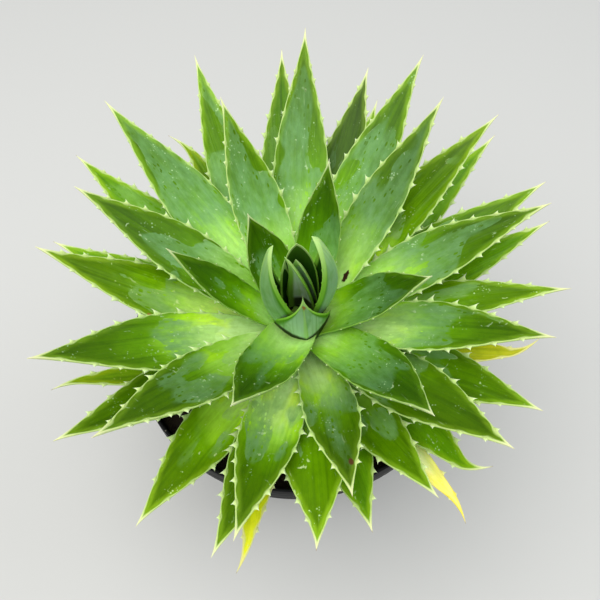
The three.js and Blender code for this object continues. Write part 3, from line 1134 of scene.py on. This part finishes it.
young_skin = leaf_finish(
    "young leaf", YOUNG_GREEN, YOUNG_WAX, YOUNG_HORN, rim_colour=(0.11, 0.26, 0.005), dullness=0.26)
green_skin = leaf_finish(
    "green leaf", FULL_GREEN, FULL_WAX, HORN, rim_colour=(0.21, 0.40, 0.015), dullness=0.29)
old_skin = leaf_finish(
    "old leaf", OLD_GREEN, OLD_WAX, HORN, rim_colour=(0.28, 0.50, 0.010), dullness=0.32)
yellow_skin = leaf_finish(
    "yellow leaf", YELLOW, YELLOW_WAX, YELLOW_HORN, rim_colour=(0.78, 0.80, 0.02), dullness=0.40)
cream_skin = leaf_finish(
    "cream leaf", CREAM, CREAM_WAX, CREAM_HORN, rim_colour=(0.96, 0.90, 0.26), dullness=0.42)
print("nodes in the skin of a green leaf:", len(green_skin.node_tree.nodes))

# %% [markdown]
# ## The skin of the bud
#
# The bud leaves are seen from outside, where each has a keel. The wax is still whole on the two facets
# beside it and has rubbed off along the keel and the edges, which stay bright green. Their inner faces
# hardly see any light, so their colour is a painted shade of nearly black green. On the leaves at the
# heart, whose edges stand up into the light, a painted light green takes its place, paler where the wax is
# whole, as far as the wax number of the leaf says. The foot of every bud leaf is painted nearly black as
# well, for the shade where the bud sinks between the leaves around it.

# %% Bud finish
BUD_GREEN = [(0.0, (0.10, 0.30, 0.010)), (0.5, (0.07, 0.24, 0.004)), (1.0, (0.16, 0.38, 0.03))]
BUD_FILM = [
    (0.0, (0.46, 0.63, 0.50)),
    (0.4, (0.39, 0.58, 0.42)),
    (0.7, (0.29, 0.50, 0.28)),
    (1.0, (0.52, 0.72, 0.34)),
]
# Painted shade on the inner faces of the bud leaves.
BUD_INSIDE_SHADE = [(0.0, (0.004, 0.025, 0.001)), (0.6, (0.018, 0.08, 0.002)), (1.0, (0.07, 0.19, 0.01))]
BUD_HORN = [(0.0, (0.14, 0.36, 0.02)), (0.6, (0.24, 0.52, 0.05)), (1.0, (0.50, 0.74, 0.26))]
BUD_KEEL = (0.36, 0.62, 0.12)
# Painted shade at the foot of the bud leaves.
BUD_FOOT_SHADE = (0.006, 0.020, 0.002)
# Painted light on the inner faces of the heart leaves, bare and waxed.
LIT_HEART_BARE = (0.28, 0.60, 0.08)
LIT_HEART_WAX = (0.60, 0.84, 0.56)


def bud_finish():
    """The skin of the bud: a whole film of wax outside, painted shade inside and at the foot, and painted
    light inside the heart leaves.
    """
    skin = LeafFinish("bud leaf", Subsurface_Weight=0.06, Subsurface_Scale=0.003, Specular_IOR_Level=0.15)
    along, across = skin.along, skin.across
    streaks = skin.pattern("bud streaks")
    whole = skin.step(streaks, 0.70, 0.45, 0.60, 1.0)
    whole = skin.times(whole, skin.step(skin.pattern("bud clouds"), 0.32, 0.50, 0.60, 1.0))
    whole = skin.times(whole, skin.step(across, 0.88, 0.70))
    kept = skin.grow(skin.number("wax"), whole, whole)
    outside = skin.mix(kept, skin.ramp(along, BUD_GREEN), skin.ramp(along, BUD_FILM))
    outside = skin.mix(skin.step(across, 0.12, 0.04, 0.0, 0.60), outside, BUD_KEEL)
    # The inner faces: painted shade, nearly black green, and on the heart leaves painted light green, mixed
    # in by the leaf's wax number.
    heart = skin.mix(whole, LIT_HEART_BARE, LIT_HEART_WAX)
    inside = skin.mix(skin.number("wax"), skin.ramp(along, BUD_INSIDE_SHADE), heart)
    colour = skin.mix(skin.number("under"), inside, outside)
    # Painted shade at the foot of each bud leaf, where it sinks between the leaves around it.
    colour = skin.mix(skin.step(along, 0.15, 0.08), colour, BUD_FOOT_SHADE)

    band = skin.times(skin.step(skin.tip_gap, 1.0, 12.0, 1.0, 0.5), skin.number("horny"))
    horn = skin.step(skin.math("DIVIDE", skin.edge, band), 1.9, 1.0)
    colour = skin.mix(horn, colour, skin.ramp(along, BUD_HORN))
    colour = skin.mix(1.0, colour, skin.number("tone"), "MULTIPLY")
    skin.out("Base Color", scarred(skin, colour))
    skin.out("Roughness", skin.grow(streaks, 0.15, 0.30))
    skin.out("Normal", skin.bump(streaks, 0.25 * MM, 0.6))
    return skin.material


bud_skin = bud_finish()
print("nodes in the skin of the bud:", len(bud_skin.node_tree.nodes))

# %% [markdown]
# ## Growing the rosette
#
# Leaves of one age look alike, so the looks are set by rings, and only the leaves that stand out get values
# of their own. Tone darkens or lightens a leaf, and on three old leaves it also holds painted shade or
# painted light, as noted beside them. Wax says how much of it the bluish wax covers, and on a bud leaf also
# how much painted light its inner face gets. Warm turns it yellower, horny widens its pale edge, burnt
# browns the very tip, and pale says how far its pale base, with its painted glow, reaches. A few leaves have
# a small brown mark as well.

# %% Looks of the leaves
PLAIN_LOOKS = {
    "teeth": 1.0,
    "tone": 1.0,
    "wax": 0.0,
    "warm": 0.0,
    "horny": 1.0,
    "burnt": 0.0,
    "pale": 0.0,
    "mark": 1.0,
}
RING_LOOKS = {
    "bud": {"skin": bud_skin, "teeth": 0.0},
    "inner": {"skin": young_skin, "teeth": 0.30, "wax": 0.02, "horny": 0.7},
    "second": {"skin": green_skin, "teeth": 0.95, "wax": 0.02},
    "outer": {"skin": green_skin, "wax": -0.02, "warm": 0.1, "burnt": 0.2},
    "low": {"skin": old_skin, "wax": -0.06, "warm": 0.1, "horny": 1.1, "burnt": 0.7},
    "old": {"skin": yellow_skin, "teeth": 0.8, "wax": -0.10, "horny": 1.2, "burnt": 0.9},
}
OWN_LOOKS = {
    "leaf_bud_front": {"mark": 0.1, "horny": 0.6},
    "leaf_bud_left": {"wax": -0.45, "horny": 1.2},
    "leaf_bud_right": {"wax": -0.30, "horny": 1.8, "tone": 1.15},
    "leaf_bud_right_front": {"wax": 1.0, "horny": 3.2, "tone": 1.1},
    "leaf_bud_heart": {"wax": 0.7, "horny": 2.4},
    "leaf_bud_left_inner": {"horny": 2.0},
    "leaf_inner_left": {"wax": -0.12},
    "leaf_inner_back_left": {"wax": -0.04},
    "leaf_inner_back": {"wax": 0.05, "tone": 1.1},
    "leaf_inner_right": {"wax": 0.06, "tone": 0.9, "pale": -0.05},
    "leaf_inner_front_right": {"tone": 0.9, "wax": 0.08},
    "leaf_inner_front_left": {"wax": 0.06, "pale": 0.15, "tone": 0.85},
    "leaf_second_back": {"teeth": 0.7, "wax": 0.20, "tone": 1.2},
    "leaf_second_back_right": {"wax": 0.14, "tone": 0.85},
    "leaf_second_back_left": {"teeth": 0.7, "wax": 0.18, "tone": 1.2},
    "leaf_second_left_back": {"tone": 1.1, "wax": 0.06, "pale": -0.12},
    "leaf_second_left": {"tone": 0.90, "pale": 0.19, "wax": -0.05},
    "leaf_second_front_left": {"tone": 0.8, "wax": -0.01, "pale": 0.03},
    "leaf_second_front": {"tone": 0.70, "mark": 0.55, "wax": 0.0, "pale": 0.04, "burnt": 0.7},
    "leaf_second_front_tip": {"pale": 0.24, "wax": -0.03, "tone": 0.88},
    "leaf_second_right_front": {"pale": 0.16, "tone": 0.92, "wax": 0.02},
    "leaf_second_right": {"wax": 0.10, "pale": 0.06},
    "leaf_outer_back_left": {"teeth": 0.7, "wax": 0.24, "warm": 0.0, "pale": 0.08, "tone": 1.3},
    "leaf_outer_back": {"teeth": 0.7, "wax": 0.18, "warm": 0.0, "tone": 1.12},
    "leaf_outer_back_narrow": {"tone": 0.65, "wax": -0.08},
    "leaf_outer_back_right": {"tone": 1.25, "warm": 0.3},
    "leaf_outer_far_left": {"teeth": 0.7, "wax": 0.16, "tone": 1.35},
    "leaf_outer_left": {"tone": 1.2, "warm": 0.35, "wax": -0.05, "pale": 0.10, "mark": 0.15},
    "leaf_outer_right": {"tone": 1.25, "warm": 0.2},
    "leaf_outer_right_back": {"tone": 1.3, "wax": 0.10},
    "leaf_outer_right_low": {"tone": 1.25},
    "leaf_outer_front_right": {"tone": 0.9},
    "leaf_outer_front_wide": {"wax": -0.06, "warm": 0.3, "tone": 1.25, "pale": 0.08},
    "leaf_outer_front": {"wax": -0.10, "warm": 0.2, "tone": 1.5, "burnt": 0.9, "horny": 0.8},
    "leaf_outer_front_corner": {"tone": 1.25, "wax": -0.08},
    "leaf_low_back": {"tone": 0.7},
    "leaf_low_back_left": {"wax": 0.22, "tone": 1.1},
    "leaf_old_left_yellow": {"skin": old_skin, "warm": 0.9, "tone": 0.8},
    "leaf_low_left_hooked": {"warm": 0.8, "tone": 0.9},
    # Its tone over 1 is partly painted light, to lift the cream where neighbouring leaves shade it.
    "leaf_old_front_right_yellow": {"skin": cream_skin, "tone": 1.3, "horny": 0.7},
    # Its low tone is painted shade, for the shadow of the leaf above it.
    "leaf_old_right_yellow": {"tone": 0.62},
    # Its tone over 1 is partly painted light, as if the leaf were lit from behind.
    "leaf_old_front_yellow": {"tone": 1.2},
}
SPOTS = {
    "leaf_bud_front": (0.76, 0.0),
    "leaf_second_back_right": (0.135, 0.52),
    "leaf_outer_left": (0.50, -0.94),
    "leaf_second_front": (0.80, -0.45),
}
NO_SPOT = (-5.0, 0.0)
print("leaves with looks of their own:", len(OWN_LOOKS))

# %% [markdown]
# Even so, no two leaves are quite alike, so each one's tone and wax are shifted a little by chance. A leaf
# with no brown mark gets its mark at a place far off the leaf.

# %% Rosette
LEAF_NUMBERS = ("tone", "wax", "warm", "horny", "burnt", "pale", "mark")
TONE_CHANCE = (0.96, 1.04)
WAX_CHANCE = (-0.02, 0.02)

fine_leaves = []
for number, node in enumerate(leaf_names):
    ring = node.split("_")[1]
    looks = {**PLAIN_LOOKS, **RING_LOOKS[ring], **OWN_LOOKS.get(node, {})}
    chance = random.Random(100 + number)
    values = {name: looks[name] for name in LEAF_NUMBERS}
    values["tone"] *= chance.uniform(*TONE_CHANCE)
    values["wax"] += chance.uniform(*WAX_CHANCE)
    leaf = leaf_mesh(node, number, looks["teeth"], values, SPOTS.get(node, NO_SPOT))
    leaf.data.materials.append(looks["skin"])
    fine_leaves.append(leaf)
print("fine leaves:", len(fine_leaves), "with", sum(len(o.data.polygons) for o in fine_leaves), "faces")

# %% [markdown]
# ## Turned pieces
#
# The pot and the stem are round, so they are turned from an outline like wood on a lathe. The plain solids
# have sharp corners. Moulded plastic never has, so each corner of the outline is cut back and bridged by a
# short curve before it is turned.

# %% Turning an outline
WOBBLES_PER_MM = 0.25


def rounded(corners, radius, steps=4):
    """An outline with its inner corners replaced by short curves."""
    points = [np.array(corners[0], float)]
    for before, corner, after in zip(corners, corners[1:], corners[2:]):
        before, corner, after = (np.array(p, float) for p in (before, corner, after))
        reach = min(radius, np.linalg.norm(before - corner) / 2, np.linalg.norm(after - corner) / 2)
        start = corner + unit(before - corner) * reach
        end = corner + unit(after - corner) * reach
        for t in np.linspace(0, 1, steps):
            points.append((1 - t) ** 2 * start + 2 * t * (1 - t) * corner + t * t * end)
    points.append(np.array(corners[-1], float))
    return points


def turned(name, outline, sides, centre=(0, 0), wobble=0.0):
    """A closed mesh turned about an upright axis from an outline that starts and ends on it, in mm."""
    points = []
    for radius, height in outline[1:-1]:
        for k in range(sides):
            turn = math.tau * k / sides
            spot = Vector((math.cos(turn) * radius, math.sin(turn) * radius, height))
            r = radius + wobble * noise.noise(spot * WOBBLES_PER_MM)
            points.append((centre[0] + r * math.cos(turn), centre[1] + r * math.sin(turn), height))
    faces = tube_faces(len(outline) - 2, sides)
    for ring, height in ((0, outline[0][1]), (len(outline) - 3, outline[-1][1])):
        middle = len(points)
        points.append((centre[0], centre[1], height))
        faces.extend((ring * sides + k, ring * sides + (k + 1) % sides, middle) for k in range(sides))
    mesh = bpy.data.meshes.new(name)
    mesh.from_pydata([tuple(c * MM for c in p) for p in points], [], faces)
    mesh.shade_smooth()
    fix_normals(mesh)
    return mesh


print("a square corner becomes", len(rounded([(0, 0), (1, 0), (1, 1)], 0.2)) - 2, "points")

# %% [markdown]
# ## Pot
#
# A nursery pot is blown or pressed from thin black plastic. Its wall opens towards the top and ends in a
# collar that stands out by a step, which makes the rim stiff. The floor has drain holes. These are cut out
# of the turned wall with cylinders, as the real ones are punched.

# %% Pot shape
POT_LOW, POT_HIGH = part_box("pot")
POT_HEIGHT = (POT_HIGH.z - POT_LOW.z) / MM
RIM_RADIUS = (POT_HIGH.x - POT_LOW.x) / 2 / MM
FOOT_RADIUS = 50
POT_WALL = 1.8
COLLAR_HEIGHT = 16
COLLAR_STEP = 2.2
POT_SIDES = 128
CORNER = 1.0
COLLAR_DRAFT = 0.2
COLLAR_SLOPE = 0.3
INNER_DRAFT = 0.5
INNER_LEDGE = (2, -1)

shoulder = POT_HEIGHT - COLLAR_HEIGHT
neck = RIM_RADIUS - COLLAR_STEP
inner_foot = FOOT_RADIUS + (neck - FOOT_RADIUS) * POT_WALL / shoulder - POT_WALL
pot_outline = rounded([
    (0, 0),
    (FOOT_RADIUS, 0),
    (neck, shoulder),
    (RIM_RADIUS - COLLAR_DRAFT, shoulder + COLLAR_SLOPE),
    (RIM_RADIUS, POT_HEIGHT),
    (RIM_RADIUS - POT_WALL, POT_HEIGHT),
    (RIM_RADIUS - POT_WALL - INNER_DRAFT, shoulder + INNER_LEDGE[0]),
    (neck - POT_WALL, shoulder + INNER_LEDGE[1]),
    (inner_foot, POT_WALL),
    (0, POT_WALL),
], CORNER)
pot_mesh = turned("fine_pot", pot_outline, POT_SIDES)
print("pot height and rim radius in mm:", round(POT_HEIGHT), round(RIM_RADIUS))

# %% [markdown]
# The six cylinders for the drain holes are one mesh, so that a single cut makes all the holes. After the
# cut, the edges of the holes stay sharp while the round walls are shaded smooth.

# %% Drain holes
DRAIN_HOLES = 6
DRAIN_RADIUS = 5
DRAIN_RING = 34
DRAIN_SIDES = 40
CUTTER_LENGTH = 8
SHARP_FROM = 40


def cut(mesh, cutter):
    """Cuts one mesh out of another."""
    solid = new_object("solid", mesh)
    tool = new_object("tool", cutter)
    modifier = solid.modifiers.new("cut", "BOOLEAN")
    modifier.operation = "DIFFERENCE"
    modifier.solver = "EXACT"
    modifier.object = tool
    result = bpy.data.meshes.new_from_object(solid.evaluated_get(bpy.context.evaluated_depsgraph_get()))
    bpy.data.objects.remove(solid)
    bpy.data.objects.remove(tool)
    return result


holes = bmesh.new()
for k in range(DRAIN_HOLES):
    turn = math.tau * k / DRAIN_HOLES
    radius = DRAIN_RADIUS * MM
    made = bmesh.ops.create_cone(
        holes, cap_ends=True, segments=DRAIN_SIDES, radius1=radius, radius2=radius, depth=CUTTER_LENGTH * MM)
    spot = Vector((DRAIN_RING * math.cos(turn), DRAIN_RING * math.sin(turn), 0)) * MM
    bmesh.ops.translate(holes, verts=made["verts"], vec=spot)
hole_mesh = bpy.data.meshes.new("holes")
holes.to_mesh(hole_mesh)
holes.free()
pot_mesh = cut(pot_mesh, hole_mesh)
pot_mesh.name = "fine_pot"
pot_mesh.set_sharp_from_angle(angle=math.radians(SHARP_FROM))
pot = new_object("fine_pot", pot_mesh)
stand_for(pot, "pot")
print("pot faces:", len(pot_mesh.polygons))

# %% [markdown]
# Cheap black plastic is never one even black. It is rubbed duller where pots stack, has fine scratches
# round it, and dust and a little dried soil cling to the rim and low down on the wall.

# %% Pot finish
PLASTIC_BLACK = (0.0060, 0.0065, 0.0075)
PLASTIC_DUST = (0.050, 0.045, 0.038)
DRIED_SOIL = (0.28, 0.25, 0.20)
CRUMBS_PER_METRE = 420.0


def plastic_finish():
    plastic = Finish("black pot plastic", Specular_IOR_Level=0.12)
    place = plastic.add("TexCoord").outputs["Object"]
    height = plastic.add("SeparateXYZ", {0: place}).outputs[2]
    dust = plastic.noise(place, scale=38, detail=5, rough=0.62)
    near_rim = plastic.step(height, (POT_HEIGHT - 10) * MM, POT_HEIGHT * MM, 0.0, 0.10)
    near_foot = plastic.step(height, 40 * MM, 0.0, 0.0, 0.12)
    dusty = plastic.plus(plastic.plus(dust, near_rim), near_foot)
    dusty = plastic.step(dusty, 0.58, 0.84, 0.0, 0.40)
    colour = plastic.mix(dusty, PLASTIC_BLACK, PLASTIC_DUST)
    few = plastic.step(plastic.noise(place, scale=60, detail=2), 0.56, 0.68)
    speck = plastic.step(plastic.cells(place, CRUMBS_PER_METRE)["Distance"], 0.22, 0.12)
    speck = plastic.times(speck, few)
    plastic.out("Base Color", plastic.mix(plastic.times(speck, 0.7), colour, DRIED_SOIL))
    scuffs = plastic.noise(plastic.scaled(place, (30, 30, 500)), detail=3)
    rough = plastic.step(scuffs, 0.35, 0.7, 0.48, 0.62)
    plastic.out("Roughness", plastic.grow(dusty, 0.4, rough))
    relief = plastic.bump(plastic.noise(place, scale=260, detail=3), 0.06 * MM, 0.5)
    relief = plastic.bump(scuffs, 0.05 * MM, 0.4, relief)
    waves = plastic.noise(place, scale=14, detail=1)
    plastic.out("Normal", plastic.bump(waves, 1.2 * MM, 0.5, relief))
    return plastic.material


pot_mesh.materials.clear()
pot_mesh.materials.append(plastic_finish())
print("finish of the pot:", pot_mesh.materials[0].name)

# %% [markdown]
# ## Soil
#
# The soil fills the pot and shows only in the gaps between the lowest leaves. Its top is uneven, so its
# rings are lifted by noise, and crumbs of bark, peat and white perlite lie on it.

# %% Soil shape
SOIL_BELOW_RIM = 12
SOIL_TOP = POT_HEIGHT - SOIL_BELOW_RIM
SOIL_SIDES = 160
SOIL_RINGS = 60
SOIL_GAP = 0.3
SOIL_HEAP = 1.0
SOIL_FALL = 1.2
SOIL_LUMPS = ((1.1, 0.09), (0.6, 0.28), (0.35, 0.8))

soil_edge = RIM_RADIUS - POT_WALL - 1.4


def soil_height(x, y):
    """Height of the soil's top in mm, without its crumbs."""
    away = math.hypot(x, y) / soil_edge
    spot = Vector((x, y, 0))
    lumps = sum(height * noise.noise(spot * per_mm) for height, per_mm in SOIL_LUMPS)
    return SOIL_TOP + SOIL_HEAP - SOIL_FALL * away ** 4 + lumps


top_rings = np.linspace(1, 0, SOIL_RINGS)[:-1] * soil_edge
soil_outline = [
    (0, POT_WALL + SOIL_GAP),
    (inner_foot - 1, POT_WALL + SOIL_GAP),
    (neck - POT_WALL - SOIL_GAP - 0.6, shoulder - 2),
    (soil_edge, shoulder + 2.5),
    *[(r, SOIL_TOP) for r in top_rings],
    (0, SOIL_TOP),
]
soil_mesh = turned("fine_soil", soil_outline, SOIL_SIDES)
for vertex in soil_mesh.vertices:
    if vertex.co.z > (SOIL_TOP - 0.1) * MM:
        vertex.co.z = soil_height(vertex.co.x / MM, vertex.co.y / MM) * MM
print("soil radius at its top in mm:", round(soil_edge, 1))

# %% [markdown]
# Each crumb is a small ball that is stretched, made jagged by noise and sunk nearly halfway into the soil.
# Most are dark bark or peat and about one in ten is white perlite, and a number in the mesh says which.

# %% Crumbs
CRUMBS = 900
CRUMB_RING = (0.12, 0.96)
CRUMB_SIZES = (0.7, 0.9, 1.2, 1.6, 2.3)
CRUMB_JAGS = 0.45
PERLITE_SHARE = 0.10
PERLITE_TONES = (0.9, 1.0)
CRUMB_TONES = (0.0, 0.6)
SOIL_TONE = 0.3


def add_crumb(work, tone_layer, dice):
    """Lays one crumb at a place drawn by chance."""
    away = soil_edge * math.sqrt(dice.uniform(*CRUMB_RING))
    turn = dice.uniform(0, math.tau)
    x, y = away * math.cos(turn), away * math.sin(turn)
    size = dice.choice(CRUMB_SIZES) * dice.uniform(0.8, 1.3)
    tones = PERLITE_TONES if dice.random() < PERLITE_SHARE else CRUMB_TONES
    tone = dice.uniform(*tones)
    stretch = Vector((dice.uniform(0.6, 1.5), dice.uniform(0.6, 1.3), dice.uniform(0.4, 0.8)))
    spin = dice.uniform(0, math.tau)
    for vertex in bmesh.ops.create_icosphere(work, subdivisions=1, radius=1)["verts"]:
        jag = 1 + CRUMB_JAGS * noise.noise(vertex.co * 1.7 + Vector((x, y, 0)))
        p = vertex.co * stretch * jag * size
        px = p.x * math.cos(spin) - p.y * math.sin(spin)
        py = p.x * math.sin(spin) + p.y * math.cos(spin)
        vertex.co = Vector((x + px, y + py, soil_height(x, y) + 0.2 * size + p.z)) * MM
        vertex[tone_layer] = tone


soil_work = bmesh.new()
soil_work.from_mesh(soil_mesh)
tone_layer = soil_work.verts.layers.float.new("tone")
for vertex in soil_work.verts:
    vertex[tone_layer] = SOIL_TONE
dice = random.Random(7)
for _ in range(CRUMBS):
    add_crumb(soil_work, tone_layer, dice)
soil_work.to_mesh(soil_mesh)
soil_work.free()
fix_normals(soil_mesh)
soil = new_object("fine_soil", soil_mesh)
stand_for(soil, "soil")
print("soil faces:", len(soil_mesh.polygons))

# %% [markdown]
# Potting mix is dark brown and fibrous when it is moist. One ramp of colour does for soil, bark and perlite
# alike: the number in the mesh picks the place on the ramp, and stretched noise adds the fibres.

# %% Soil finish
SOIL_COLOURS = [
    (0.00, (0.006, 0.004, 0.003)),
    (0.35, (0.022, 0.013, 0.008)),
    (0.65, (0.070, 0.038, 0.020)),
    (0.82, (0.40, 0.36, 0.30)),
    (1.00, (0.62, 0.60, 0.55)),
]


def soil_finish():
    mix = Finish("potting mix", Roughness=0.9, Specular_IOR_Level=0.3)
    place = mix.add("TexCoord").outputs["Object"]
    fibres = mix.noise(mix.scaled(place, (420, 900, 500)), detail=4, rough=0.6)
    tone = mix.grow(fibres, 0.25, mix.grow(mix.number("tone"), 0.85, -0.12))
    mix.out("Base Color", mix.ramp(tone, SOIL_COLOURS))
    grit = mix.noise(place, scale=900, detail=3)
    mix.out("Normal", mix.bump(grit, 0.4 * MM, 0.8))
    return mix.material


soil_mesh.materials.clear()
soil_mesh.materials.append(soil_finish())
print("finish of the soil:", soil_mesh.materials[0].name)

# %% [markdown]
# ## Stem
#
# The stem is short and thick and all but hidden by the leaf bases that clasp it. It is pale and wet-looking
# where a base leaves it, and brown and corky below the oldest leaves, where it goes into the soil. Because
# the fine leaves run on into it, it is turned a little slimmer than the plain one.

# %% Stem
STEM_SLIMMER = 2.2
STEM_BASE_DEPTH = 20
STEM_BASE_RADIUS = 15
STEM_AT_SOIL = (23, SOIL_TOP + 4)
STEM_WIDEST = (25, 146)
STEM_SHOULDER = (18.5, 160)
STEM_NECK = (12, 165)
STEM_TOP = 167
STEM_CORNER = 2.5
STEM_SIDES = 96
STEM_WOBBLE = 1.4

stem_foot = SOIL_TOP - STEM_BASE_DEPTH
stem_bends = [(STEM_BASE_RADIUS, stem_foot), STEM_AT_SOIL, STEM_WIDEST, STEM_SHOULDER, STEM_NECK]
stem_outline = [(radius - STEM_SLIMMER, height) for radius, height in stem_bends]
stem_outline = rounded([(0, stem_foot), *stem_outline, (0, STEM_TOP)], STEM_CORNER)
stem_axis = (CROWN[0] / MM, CROWN[1] / MM)
stem_mesh = turned("fine_stem", stem_outline, STEM_SIDES, stem_axis, wobble=STEM_WOBBLE)
stem = new_object("fine_stem", stem_mesh)
stand_for(stem, "stem")
print("stem faces:", len(stem_mesh.polygons))

# %% [markdown]
# The colour of the stem follows its height. Noise is added to the height first, so that the brown climbs up
# in patches and does not end in a level line.

# %% Stem finish
STEM_COLOURS = [
    (0.00, (0.085, 0.045, 0.022)),
    (0.30, (0.20, 0.15, 0.06)),
    (0.55, (0.34, 0.42, 0.12)),
    (1.00, (0.30, 0.52, 0.08)),
]


def stem_finish():
    stalk = Finish("stem flesh", Subsurface_Weight=0.1, Subsurface_Scale=0.003)
    place = stalk.add("TexCoord").outputs["Object"]
    height = stalk.add("SeparateXYZ", {0: place}).outputs[2]
    patches = stalk.noise(place, scale=160, detail=4)
    level = stalk.grow(patches, 12 * MM, height)
    stalk.out("Base Color", stalk.ramp(stalk.step(level, 143 * MM, 172 * MM), STEM_COLOURS))
    stalk.out("Roughness", stalk.step(level, 150 * MM, 165 * MM, 0.85, 0.45))
    scars = stalk.noise(stalk.scaled(place, (90, 90, 600)), detail=3)
    stalk.out("Normal", stalk.bump(scars, 0.8 * MM, 0.6))
    return stalk.material


stem_mesh.materials.append(stem_finish())
print("finish of the stem:", stem_mesh.materials[0].name)

# %% [markdown]
# ## Floor and light
#
# The plant stands on a plain pale floor under soft light. A large panel above the viewer stands for the
# open sky, so the leaves at the back, which face the viewer, are the brightest. Leaves of the near side
# turn their faces away and stay darker.

# %% Floor
FLOOR_SIZE = 6.0
FLOOR_COLOUR = (0.60, 0.60, 0.59)

floor_mesh = bpy.data.meshes.new("floor")
floor_work = bmesh.new()
bmesh.ops.create_grid(floor_work, x_segments=1, y_segments=1, size=FLOOR_SIZE / 2)
floor_work.to_mesh(floor_mesh)
floor_work.free()
floor = new_object("floor", floor_mesh)
floor_finish = Finish("floor", Roughness=0.85, Specular_IOR_Level=0.2)
floor_finish.out("Base Color", FLOOR_COLOUR)
floor_mesh.materials.append(floor_finish.material)
print("floor size in metres:", FLOOR_SIZE)

# %% [markdown]
# Two panels and a pale surround are enough. The large panel is so wide that its shadows have no hard edge.
# The small one stands at the right and lifts the sides of the leaves that face it. The surround fills the
# rest, weakly, so that the gaps between the leaves stay deep.

# %% Lights
LIT_POINT = (0, 0, 0.15)
SURROUND = (0.84, 0.88, 0.92, 1)
SURROUND_STRENGTH = 0.42


def panel(name, place, size, power, colour):
    """A square of soft light at a place, turned towards the plant."""
    data = bpy.data.lights.new(name, "AREA")
    data.size = size
    data.energy = power
    data.color = colour
    light = new_object(name, data)
    light.location = place
    light.rotation_euler = (Vector(LIT_POINT) - Vector(place)).to_track_quat("-Z", "Y").to_euler()


panel("sky panel", (-0.32, -0.20, 1.55), size=1.7, power=30, colour=(1.0, 0.99, 0.95))
panel("side panel", (1.3, 0.3, 1.2), size=1.0, power=6, colour=(0.95, 0.98, 1.0))
world = bpy.data.worlds.new("soft room")
world.use_nodes = True
world.node_tree.nodes["Background"].inputs["Color"].default_value = SURROUND
world.node_tree.nodes["Background"].inputs["Strength"].default_value = SURROUND_STRENGTH
bpy.context.scene.world = world
bpy.context.scene.view_settings.view_transform = "Standard"

# %% [markdown]
# The visual model may not stand outside the plain solids by more than a little.
